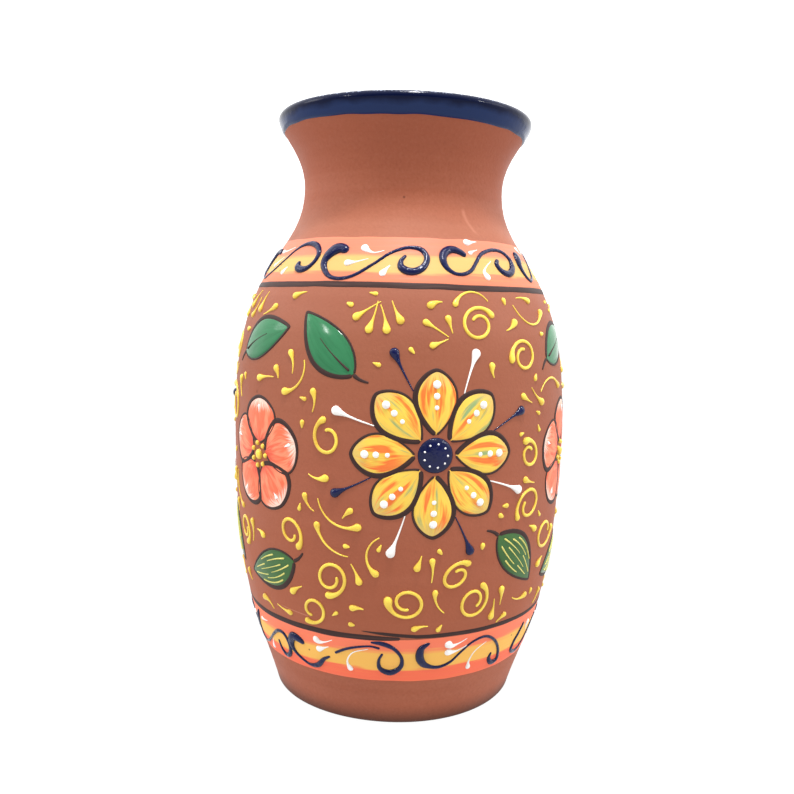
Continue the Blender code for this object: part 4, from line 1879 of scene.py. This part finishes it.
    def build_drops(self) -> None:
        """White drops beside every scroll, joined in one mesh: a bulb that runs out in a thin tail."""
        draw = np.random.default_rng(self.seed + 9)
        rise, base = self.drop_relief
        shells = []
        for turn, drawn in enumerate(self.scrolls):
            loose = self.sway * (turn in self.behind)
            for head, route in drawn.drops:
                across, up = np.array(route).T / HUNDREDTHS
                across = across + draw.uniform(-loose, loose)
                up = up + draw.uniform(-loose, loose)
                around, z = smooth(self.laid(turn, across, up), self.drop_steps).T
                strides = np.hypot(np.diff(around, prepend=around[0]), np.diff(z, prepend=z[0]))
                size = head / HUNDREDTHS * draw.uniform(*self.drop_change) * CENTIMETRE
                wide = bulb(np.cumsum(strides), size, self.drop_tail)
                shells.append(bead(around / self.ring, z, wide, rise * wide + base))
        settle(f"{self.side.value}_white_drops", shells, self.palette.white, "white_slip")

    def build(self) -> None:
        """Builds and dresses the border."""
        self.build_band()
        self.build_line()
        self.build_scrolls()
        self.build_drops()


@dataclass(frozen=True)
class Flower:
    """A flower of like petals.

    Args:
        name: its nodes' name, without the number.
        slot: the record's material slot of its petals.
        petal: one petal.
        petals: how many it has.
        start: distance from the flower's middle to a petal's base.
        place: degrees and share of the height in one repeat of the panel, and its turn in degrees.
    """

    name: str
    slot: str
    petal: Pad
    petals: int
    start: float
    place: Triple

    @property
    def tilts(self) -> Array:
        """Directions of the petals, the first one up."""
        return math.pi / 2 + turn_angles(self.petals)

    @property
    def between(self) -> Array:
        """Directions between the petals."""
        return self.tilts + math.pi / self.petals

    @property
    def reach(self) -> float:
        """Distance from the middle to the petals' tips."""
        return self.start + self.petal.length


@dataclass(frozen=True)
class DotRing:
    """A ring of like dots.

    Args:
        count: how many it has.
        reach: distance from the ring's middle to theirs.
        size: a dot's width.
        relief: its height, as a share of its width.
    """

    count: int
    reach: float
    size: float
    relief: float

    def shells(self, seat: Seat) -> list[Shell]:
        """The dots round a place."""
        spots = seat.around(self.reach, turn_angles(self.count))
        return [dot(spot, self.size, self.relief) for spot in spots]


@dataclass
class FlowerPanel:
    """The belly between the borders: painted flowers and leaves with raised curls and commas between.

    Args:
        palette: the finishes.
        low: height of the panel's bottom.
        high: height of its top.
    """

    palette: Palette
    low: float
    high: float
    repeats: int = 3
    first_angle: float = math.radians(-79.0)
    gap: float = 0.0013
    outline: float = 0.0020
    dahlia: Flower = Flower(
        "dahlia", "petal_paint", Pad(0.0225, 0.0150, 1.25, 0.62), 8, 0.0075, (0.0, 0.54, 0.0)
    )
    dahlia_dots: tuple[Spot, ...] = ((0.42, 0.0020), (0.60, 0.0026), (0.78, 0.0031))
    dot_relief: float = 0.42
    dahlia_ring: DotRing = DotRing(9, 0.0042, 0.0013, 0.9)
    dahlia_middle: Spot = (0.0128, 0.10)
    middle_sides: int = 36
    ray: Stroke = Stroke(0.0165, 0.0036, 0.0011, 0.12)
    ray_reach: float = 0.0405
    ray_heads: Spot = (0.0015, 0.0050)
    rose: Flower = Flower(
        "rose", "coral_paint", Pad(0.0175, 0.0200, 1.20, 0.55), 5, 0.0045, (60.0, 0.50, 0.0)
    )
    rose_middle: Spot = (0.0042, 0.30)
    rose_ring: DotRing = DotRing(7, 0.0044, 0.0021, 0.45)
    rose_mark: Stroke = Stroke(0.0074, 0.0015, 0.0008, 0.3)
    rose_mark_reach: float = 0.0192
    rose_mark_relief: float = 0.5
    leaf: Pad = Pad(0.0300, 0.0150, 0.82, 0.85, 0.0012, 0.00016, 0.00050)
    leaf_places: tuple[Triple, ...] = (
        (-33.5, 0.84, 135.0), (31.5, 0.21, -45.0), (58.0, 0.84, 20.0), (63.0, 0.16, 200.0),
    )
    leaf_circles: tuple[Spot, ...] = (
        (-0.021, 0.002), (-0.011, 0.005), (-0.005, 0.0085),
        (0.002, 0.0085), (0.009, 0.0065), (0.014, 0.0035),
    )
    stalk_length: float = 0.006
    stalk_bend: float = 0.0022
    stalk_widths: Spot = (0.0017, 0.0008)
    stalk_height: float = 0.0003
    stalk_steps: int = 16
    midrib_ends: Spot = (0.06, 0.62)
    midrib_width: float = 0.0011
    vein_width: float = 0.0009
    vein_height: float = 0.00078
    vein_steps: int = 20
    vein_rows: tuple[Triple, ...] = (
        (-0.70, 0.34, 0.66), (-0.46, 0.14, 0.52), (-0.36, 0.58, 0.84), (-0.10, 0.24, 0.72),
        (0.16, 0.10, 0.50), (0.26, 0.56, 0.88), (0.46, 0.22, 0.62), (0.72, 0.30, 0.74),
    )
    curl_radius: float = 0.0070
    curl_turns: float = 1.35
    curl_squeeze: float = 0.9
    curl_shrink: float = 0.60
    curl_ease: float = 1.15
    curl_heads: tuple[float, ...] = (0.0026, 0.0030, 0.0034)
    curl_tail: float = 0.0014
    curl_swell: float = 0.0007
    curl_steps: int = 64
    curl_margin: float = 0.0009
    curl_places: tuple[Triple, ...] = (
        (14.5, 0.90, 20.0), (32.0, 0.81, 200.0), (-7.0, 0.11, 160.0),
        (15.5, 0.10, 70.0), (-31.5, 0.17, 250.0),
    )
    fill_seed: int = 41

    def seat(self, repeat: int, place: Triple) -> Seat:
        """Where a place lies in one repeat of the panel."""
        angle = self.first_angle + math.tau * repeat / self.repeats + math.radians(place[0])
        return Seat(angle, self.low + place[1] * (self.high - self.low), math.radians(place[2]))

    def build_petals(self, flower: Flower, repeat: int, finish: Material) -> tuple[str, Seat]:
        """A flower's petals as one piece, and their dark outlines as another.

        Args:
            flower: the flower.
            repeat: number of the panel's repeat.
            finish: the petals' material.

        Returns:
            The flower's name and seat.
        """
        seat = self.seat(repeat, flower.place)
        ways = [seat.turned(tilt) for tilt in flower.tilts]
        name = f"{flower.name}_{repeat + 1}"
        pads = [flower.petal.shell(way, flower.start, k) for k, way in enumerate(ways)]
        settle(f"{name}_petals", pads, finish, flower.slot, name)
        edges = [flower.petal.outline(way, flower.start, self.outline) for way in ways]
        settle(f"{name}_outline", edges, self.palette.line, "line_paint")
        return name, seat

    def build_dahlia(self, repeat: int) -> None:
        """A dahlia: streaked petals with white dots, a blue middle and drop-headed rays.

        Args:
            repeat: number of the panel's repeat.
        """
        name, seat = self.build_petals(self.dahlia, repeat, self.palette.petal)
        shares, sizes = np.array(self.dahlia_dots).T
        reach = self.dahlia.start + self.dahlia.petal.length * shares
        spots = seat.around(reach[:, None], self.dahlia.tilts)
        sizes = np.repeat(sizes, self.dahlia.petals)
        white = [dot(spot, size, self.dot_relief) for spot, size in zip(spots, sizes)]
        white += self.dahlia_ring.shells(seat)
        rays = [lay(self.ray.drawn_in(tilt, self.ray_reach), seat) for tilt in self.dahlia.between]
        settle(f"{name}_white_dots", white + rays[1::2], self.palette.white, "white_slip")
        blue = [dot(seat, *self.dahlia_middle, self.middle_sides)] + rays[::2]
        settle(f"{name}_blue_middle", blue, self.palette.blue, "blue_slip")

    def build_rose(self, repeat: int) -> None:
        """A rose: coral petals with pale tips and white marks, and a yellow dotted middle.

        Args:
            repeat: number of the panel's repeat.
        """
        name, seat = self.build_petals(self.rose, repeat, self.palette.coral)
        dots = [dot(seat, *self.rose_middle), *self.rose_ring.shells(seat)]
        settle(f"{name}_yellow_middle", dots, self.palette.yellow, "yellow_slip")
        marks = [self.rose_mark.drawn_in(tilt, self.rose_mark_reach) for tilt in self.rose.tilts]
        white = [lay(mark, seat, self.rose_mark_relief) for mark in marks]
        settle(f"{name}_white_marks", white, self.palette.white, "white_slip")

    def build_leaves(self, repeat: int) -> None:
        """Leaves with a dark edge: bright ones with a dark midrib, dark ones with pale veins.

        Args:
            repeat: number of the panel's repeat.
        """
        start = -self.leaf.length / 2
        for k, place in enumerate(self.leaf_places):
            seat = self.seat(repeat, place)
            node = f"leaf_{repeat * len(self.leaf_places) + k + 1}"
            pad = self.leaf.shell(seat, start, k)
            finish = self.palette.dark_leaf if k % 2 else self.palette.leaf
            settle(f"{node}_enamel", [pad], finish, "leaf_enamel", node)
            dark = [self.leaf.outline(seat, start, self.outline), self.stalk(seat, start)]
            if not k % 2:
                dark.append(self.vein(seat, 0.0, *self.midrib_ends, self.midrib_width))
            settle(f"{node}_edge", dark, self.palette.line, "line_paint")
            if k % 2:
                veins = [self.vein(seat, *row, self.vein_width) for row in self.vein_rows]
                settle(f"{node}_veins", veins, self.palette.green, "leaf_enamel")

    def stalk(self, seat: Seat, start: float) -> Shell:
        """A short stalk that curves away from a leaf's base, as an arc of a parabola.

        Args:
            seat: where the leaf lies.
            start: distance from the seat's middle to the leaf's base.

        Returns:
            The stalk.
        """
        share = eased(self.stalk_steps)
        route = seat.laid(start - self.stalk_length * share, -self.stalk_bend * share**2)
        thick, thin = self.stalk_widths
        return bead(*route, thick + (thin - thick) * share, np.full(len(share), self.stalk_height))

    def vein(self, seat: Seat, row: float, low: float, high: float, width: float) -> Shell:
        """A thin bead on a leaf's crown, which keeps a share of the half width off the middle line.

        Args:
            seat: where the leaf lies.
            row: share of the half width, below 0 on one side.
            low: share of the leaf's length where the vein starts.
            high: share where it ends.
            width: its width at the start, which halves on the way.

        Returns:
            The vein.
        """
        share = low + (high - low) * eased(self.vein_steps)
        along = self.leaf.length * (share - 0.5)
        route = seat.laid(along, row * self.leaf.half_width(share) + self.leaf.middle(share))
        thin = width * np.linspace(1.0, 0.5, len(share))
        return bead(*route, thin, np.full(len(share), self.vein_height))

    def curl(self, radius: float, turns: float, squeeze: float, head: float) -> Array:
        """A curl like a 6.

        It is a squeezed spiral whose radius falls as it turns. It starts with a bulb and swells a little at
        its inner end.

        Args:
            radius: its radius at the start.
            turns: how many turns it makes.
            squeeze: its height as a share of its width, below 0 for a mirrored one.
            head: the bulb's width.

        Returns:
            Rows of (across, up, width).
        """
        share = eased(self.curl_steps)
        turn = math.tau * turns * share
        reach = radius * (1 - self.curl_shrink * share**self.curl_ease)
        across, up = reach * np.cos(turn), squeeze * reach * np.sin(turn)
        width = bulb(math.tau * radius * share, head, self.curl_tail) + self.curl_swell * share
        return np.stack([across, up, width], axis=1)

    def build_curls(self, repeat: int) -> None:
        """The panel's large curls, one piece each.

        Args:
            repeat: number of the panel's repeat.
        """
        for k, place in enumerate(self.curl_places):
            node = f"curl_{repeat * len(self.curl_places) + k + 1}"
            head = self.curl_heads[k % len(self.curl_heads)]
            line = self.curl(self.curl_radius, self.curl_turns, (-1) ** k * self.curl_squeeze, head)
            shell = lay(line, self.seat(repeat, place))
            settle(f"{node}_bead", [shell], self.palette.yellow, "yellow_slip", node)

    def taken(self) -> Array:
        """Circles that the flowers, leaves and curls cover.

        Returns:
            Rows of (angle, height, radius).
        """
        rows = []
        heads = self.ray_reach - np.array(self.ray_heads)[:, None]
        steps, sizes = np.array(self.leaf_circles).T
        for repeat in range(self.repeats):
            for flower in (self.dahlia, self.rose):
                rows.append(self.seat(repeat, flower.place).circle(flower.reach + self.outline))
            rays = self.seat(repeat, self.dahlia.place).around(heads, self.dahlia.between)
            rows += [ray.circle(self.ray.head / 2) for ray in rays]
            for place in self.curl_places:
                rows.append(self.seat(repeat, place).circle(self.curl_radius + self.curl_margin))
            for place in self.leaf_places:
                rows += list(zip(*self.seat(repeat, place).laid(steps, 0 * steps), sizes))
        return np.array(rows)

    def ornament(self, kind: Ornament, draw: np.random.Generator) -> list[Array]:
        """Lines of one ornament, each as rows of (across, up, width).

        Args:
            kind: which ornament.
            draw: source of its hand-made differences.

        Returns:
            A curl, a long bent drop, a spray of drops whose tails meet, a comma or an egg-shaped dot.
        """
        side = draw.choice([-1.0, 1.0])
        head = draw.uniform(0.0024, 0.0032)
        if kind is Ornament.LOOP:
            radius = draw.uniform(0.0058, 0.0085)
            turns = draw.uniform(1.0, 1.3)
            return [self.curl(radius, turns, side * draw.uniform(0.72, 0.95), head)]
        if kind is Ornament.TENDRIL:
            length = draw.uniform(0.017, 0.027)
            return [Stroke(length, head, 0.0012, side * draw.uniform(1.4, 2.6)).line(40)]
        if kind is Ornament.SPRAY:
            fans = np.linspace(-0.8, 0.8, draw.integers(3, 6))
            reach = draw.uniform(0.008, 0.016, len(fans))
            bends = draw.uniform(-0.4, 0.4, len(fans))
            drops = [Stroke(far - 0.002, head, 0.0010, bend) for far, bend in zip(reach, bends)]
            return [drop.drawn_in(fan, far) for drop, fan, far in zip(drops, fans, reach)]
        if kind is Ornament.COMMA:
            length = draw.uniform(0.0055, 0.0115)
            return [Stroke(length, head, 0.0011, side * draw.uniform(0.2, 1.3)).line(15)]
        length = draw.uniform(0.0026, 0.0034)
        return [Stroke(length, draw.uniform(0.0018, 0.0024), 0.0010, 0.0).line(9)]

    def build_fill(self) -> None:
        """Ornaments strewn in what is left of the panel, largest first.

        Places are drawn at random from a fixed seed. One is kept if its circles clear all that are there.
        """
        draw = np.random.default_rng(self.fill_seed)
        taken = self.taken()
        shells: list[Shell] = []
        for kind in Ornament:
            tries, bottom, top = kind.value
            for _ in range(tries):
                angle = draw.uniform(0, math.tau)
                height = self.low + (self.high - self.low) * draw.uniform(bottom, top)
                seat = Seat(angle, height, draw.uniform(0, math.tau))
                lines = self.ornament(kind, draw)
                across, up, width = np.concatenate([line[::2] for line in lines]).T
                circles = np.stack([*seat.laid(across, up), width / 2], axis=1)
                if self.clear(circles, taken):
                    taken = np.concatenate([taken, circles])
                    shells += [lay(line, seat) for line in lines]
        settle("yellow_commas", shells, self.palette.yellow, "yellow_slip")

    def clear(self, circles: Array, taken: Array) -> bool:
        """Whether circles keep inside the panel and off all that is taken.

        Args:
            circles: rows of (angle, height, radius).
            taken: such rows of what is there.

        Returns:
            True if all of them do.
        """
        margin = circles[:, 2] + self.gap / 2
        if (circles[:, 1] - margin < self.low).any() or (circles[:, 1] + margin > self.high).any():
            return False
        turn = (circles[:, None, 0] - taken[None, :, 0] + math.pi) % math.tau - math.pi
        across = turn * WALL.radius(circles[:, 1])[:, None]
        apart = np.hypot(across, circles[:, None, 1] - taken[None, :, 1])
        return bool((apart > circles[:, None, 2] + taken[None, :, 2] + self.gap).all())

    def build(self) -> None:
        """Builds and dresses every repeat, then strews the fill."""
        for repeat in range(self.repeats):
            self.build_dahlia(repeat)
            self.build_rose(repeat)
            self.build_leaves(repeat)
            self.build_curls(repeat)
        self.build_fill()


@dataclass(frozen=True)
class SoftBox:
    """A square light that faces the vase's middle.

    Args:
        name: its name.
        place: where it stands.
        size: length of a side.
        power: its power in watts.
        aim: the place that it faces.
    """

    name: str
    place: Triple
    size: float
    power: float
    aim: Triple = (0.0, 0.0, 0.12)

    def build(self) -> None:
        """Sets up the light, turned so that its back points away from what it faces."""
        light = bpy.data.lights.new(self.name, "AREA")
        light.size, light.energy = self.size, self.power
        box = bpy.data.objects.new(self.name, light)
        ahead = np.array(self.aim) - np.array(self.place)
        ahead /= np.linalg.norm(ahead)
        side = np.cross(ahead, [0.0, 0.0, 1.0])
        side /= np.linalg.norm(side)
        turn = Matrix(np.stack([side, np.cross(side, ahead), -ahead], axis=1).tolist()).to_4x4()
        box.matrix_world = Matrix.Translation(self.place) @ turn
        bpy.context.scene.collection.objects.link(box)


@dataclass
class Studio:
    """White sweep, soft light and the photograph's viewpoint."""

    camera_back: float = 0.3509
    camera_height: float = 0.1605
    yaw: float = -0.0023
    pitch: float = 0.1082
    roll: float = -0.0232
    lens: float = 36.84
    sensor: float = 36.0
    nearest: float = 0.01
    floor_half: float = 3.0
    floor_grey: Tone = (0.06, 0.06, 0.06, 1.0)
    floor_glow: float = 0.97
    floor_rough: float = 0.9
    white: Tone = (1.0, 1.0, 1.0, 1.0)
    front: float = 0.04
    sides: float = 1.25
    back: float = 1.70
    top: float = 1.4
    boxes: tuple[SoftBox, ...] = (
        SoftBox("key_box", (0.06, -0.236, 0.874), 0.09, 4.3),
        SoftBox("left_wing", (-0.80, -0.05, 0.55), 0.30, 1.15),
        SoftBox("right_wing", (0.80, -0.05, 0.55), 0.30, 0.65),
        SoftBox("left_box", (-0.62, -0.50, 0.62), 0.06, 0.9),
        SoftBox("right_box", (0.70, -0.30, 0.50), 0.06, 0.7),
    )

    def build_camera(self) -> None:
        """The camera, turned by yaw, then down by pitch, then rolled about its own line of sight."""
        data = bpy.data.cameras.new("camera")
        data.lens, data.sensor_width = self.lens, self.sensor
        data.clip_start = self.nearest
        camera = bpy.data.objects.new("camera", data)
        ahead = np.array([
            math.sin(self.yaw) * math.cos(self.pitch),
            math.cos(self.yaw) * math.cos(self.pitch),
            -math.sin(self.pitch),
        ])
        right = np.array([math.cos(self.yaw), -math.sin(self.yaw), 0.0])
        down = np.cross(ahead, right)
        across = math.cos(self.roll) * right + math.sin(self.roll) * down
        lower = -math.sin(self.roll) * right + math.cos(self.roll) * down
        turn = Matrix(np.stack([across, -lower, -ahead], axis=1).tolist()).to_4x4()
        camera.matrix_world = Matrix.Translation((0.0, -self.camera_back, self.camera_height)) @ turn
        bpy.context.scene.collection.objects.link(camera)
        bpy.context.scene.camera = camera

    def build_floor(self) -> None:
        """A plain white floor."""
        half = self.floor_half
        mesh = bpy.data.meshes.new("floor")
        corners = [(-half, -half, 0.0), (half, -half, 0.0), (half, half, 0.0), (-half, half, 0.0)]
        mesh.from_pydata(corners, [], [(0, 1, 2, 3)])
        graph = Graph("floor_white")
        graph.surface(Base_Color=self.floor_grey, Roughness=self.floor_rough, Specular_IOR_Level=0.0)
        graph.surface(Emission_Color=self.white, Emission_Strength=self.floor_glow)
        mesh.materials.append(graph.material)
        floor = bpy.data.objects.new("floor", mesh)
        bpy.context.scene.collection.objects.link(floor)

    def build_light(self) -> None:
        """A white tent, dim on the camera's side, with a box overhead, two wings and two boxes for glints.

        Going round, the tent's light climbs evenly from the front to the sides and on to the back. The light
        from overhead is added with the square of the height. The tent itself looks white from all sides.
        """
        world = bpy.data.worlds.new("tent")
        bpy.context.scene.world = world
        world.use_nodes = True
        nodes = Nodes(world.node_tree)
        parts = nodes.parts(nodes.add("TexCoord", {})["Generated"])
        fore = nodes.spread(parts[1], -1.0, 0.0, (self.front, self.sides))
        rear = nodes.spread(parts[1], 0.0, 1.0, (0.0, self.back - self.sides))
        rise = nodes.sum("POWER", nodes.spread(parts[2], 0.0, 1.0), 2.0)
        high = nodes.sum("MULTIPLY", rise, self.top)
        total = nodes.sum("ADD", nodes.sum("ADD", fore, rear), high)
        seen = nodes.add("LightPath", {})["Is Camera Ray"]
        background = world.node_tree.nodes["Background"].inputs
        nodes.feed(background["Strength"], nodes.sum("MAXIMUM", total, seen))
        nodes.feed(background["Color"], self.white)
        for box in self.boxes:
            box.build()

    def build(self) -> None:
        """Sets the stage, in plain screen colours."""
        self.build_camera()
        self.build_floor()
        self.build_light()
        bpy.context.scene.view_settings.view_transform = "Standard"


# Heights of the borders, and the room that their lines take off the panel.
UPPER_HIGH = WALL.neck_height - 0.0227
UPPER_LOW = UPPER_HIGH - 0.0164
LOWER_LOW = 0.0204
LOWER_HIGH = LOWER_LOW + 0.0178
LINE_ROOM = 0.0021
UPPER_LINE = BrushLine(
    start=math.radians(80.0),
    sweep=math.radians(371.0),
    heights=(
        (0.0, -0.0010), (0.25, -0.0014), (0.55, -0.0017), (0.58, -0.0020), (0.63, -0.0016), (1.0, -0.0018),
    ),
    widths=((0.0, 0.0004), (0.02, 0.0019), (0.3, 0.0024), (0.57, 0.0026), (0.97, 0.0023), (1.0, 0.0006)),
)
LOWER_LINE = BrushLine(
    start=math.radians(-100.8),
    sweep=math.radians(373.4),
    heights=((0.0, 0.0040), (0.02, 0.0034), (0.05, 0.0023), (0.5, 0.0023), (0.85, 0.0008), (1.0, 0.0014)),
    widths=((0.0, 0.0003), (0.02, 0.0014), (0.1, 0.0019), (0.6, 0.0022), (0.97, 0.0028), (1.0, 0.0014)),
)
UPPER_BACK = UPPER_SHORT, UPPER_LONG, UPPER_SHORT, UPPER_LONG
LOWER_BACK = LOWER_SHORT, LOWER_LONG, LOWER_SHORT, LOWER_LONG


def main() -> None:
    """Builds the vase from the clay outwards, then the studio."""
    logging.basicConfig(level=logging.INFO, format="%(name)s %(message)s")
    palette = Palette.mixed()
    ClayBody(palette).build()
    RimGlaze(palette).build()
    PaintedBorder(
        palette,
        Border.UPPER,
        low=UPPER_LOW,
        high=UPPER_HIGH,
        first_angle=math.radians(-102.0),
        seed=11,
        scrolls=(UPPER_LONG, UPPER_SHORT, UPPER_RIGHT, *UPPER_BACK, UPPER_LEFT),
        line=UPPER_LINE,
        tuck=0.0008,
    ).build()
    PaintedBorder(
        palette,
        Border.LOWER,
        low=LOWER_LOW,
        high=LOWER_HIGH,
        first_angle=math.radians(-108.0),
        seed=23,
        scrolls=(LOWER_LONG, LOWER_SHORT, LOWER_RIGHT, *LOWER_BACK, LOWER_LEFT),
        line=LOWER_LINE,
        tuck=0.0010,
        tuck_tilt=0.8,
    ).build()
    FlowerPanel(palette, LOWER_HIGH + LINE_ROOM, UPPER_LOW - LINE_ROOM).build()
    Studio().build()


if __name__ == "__main__":
    main()
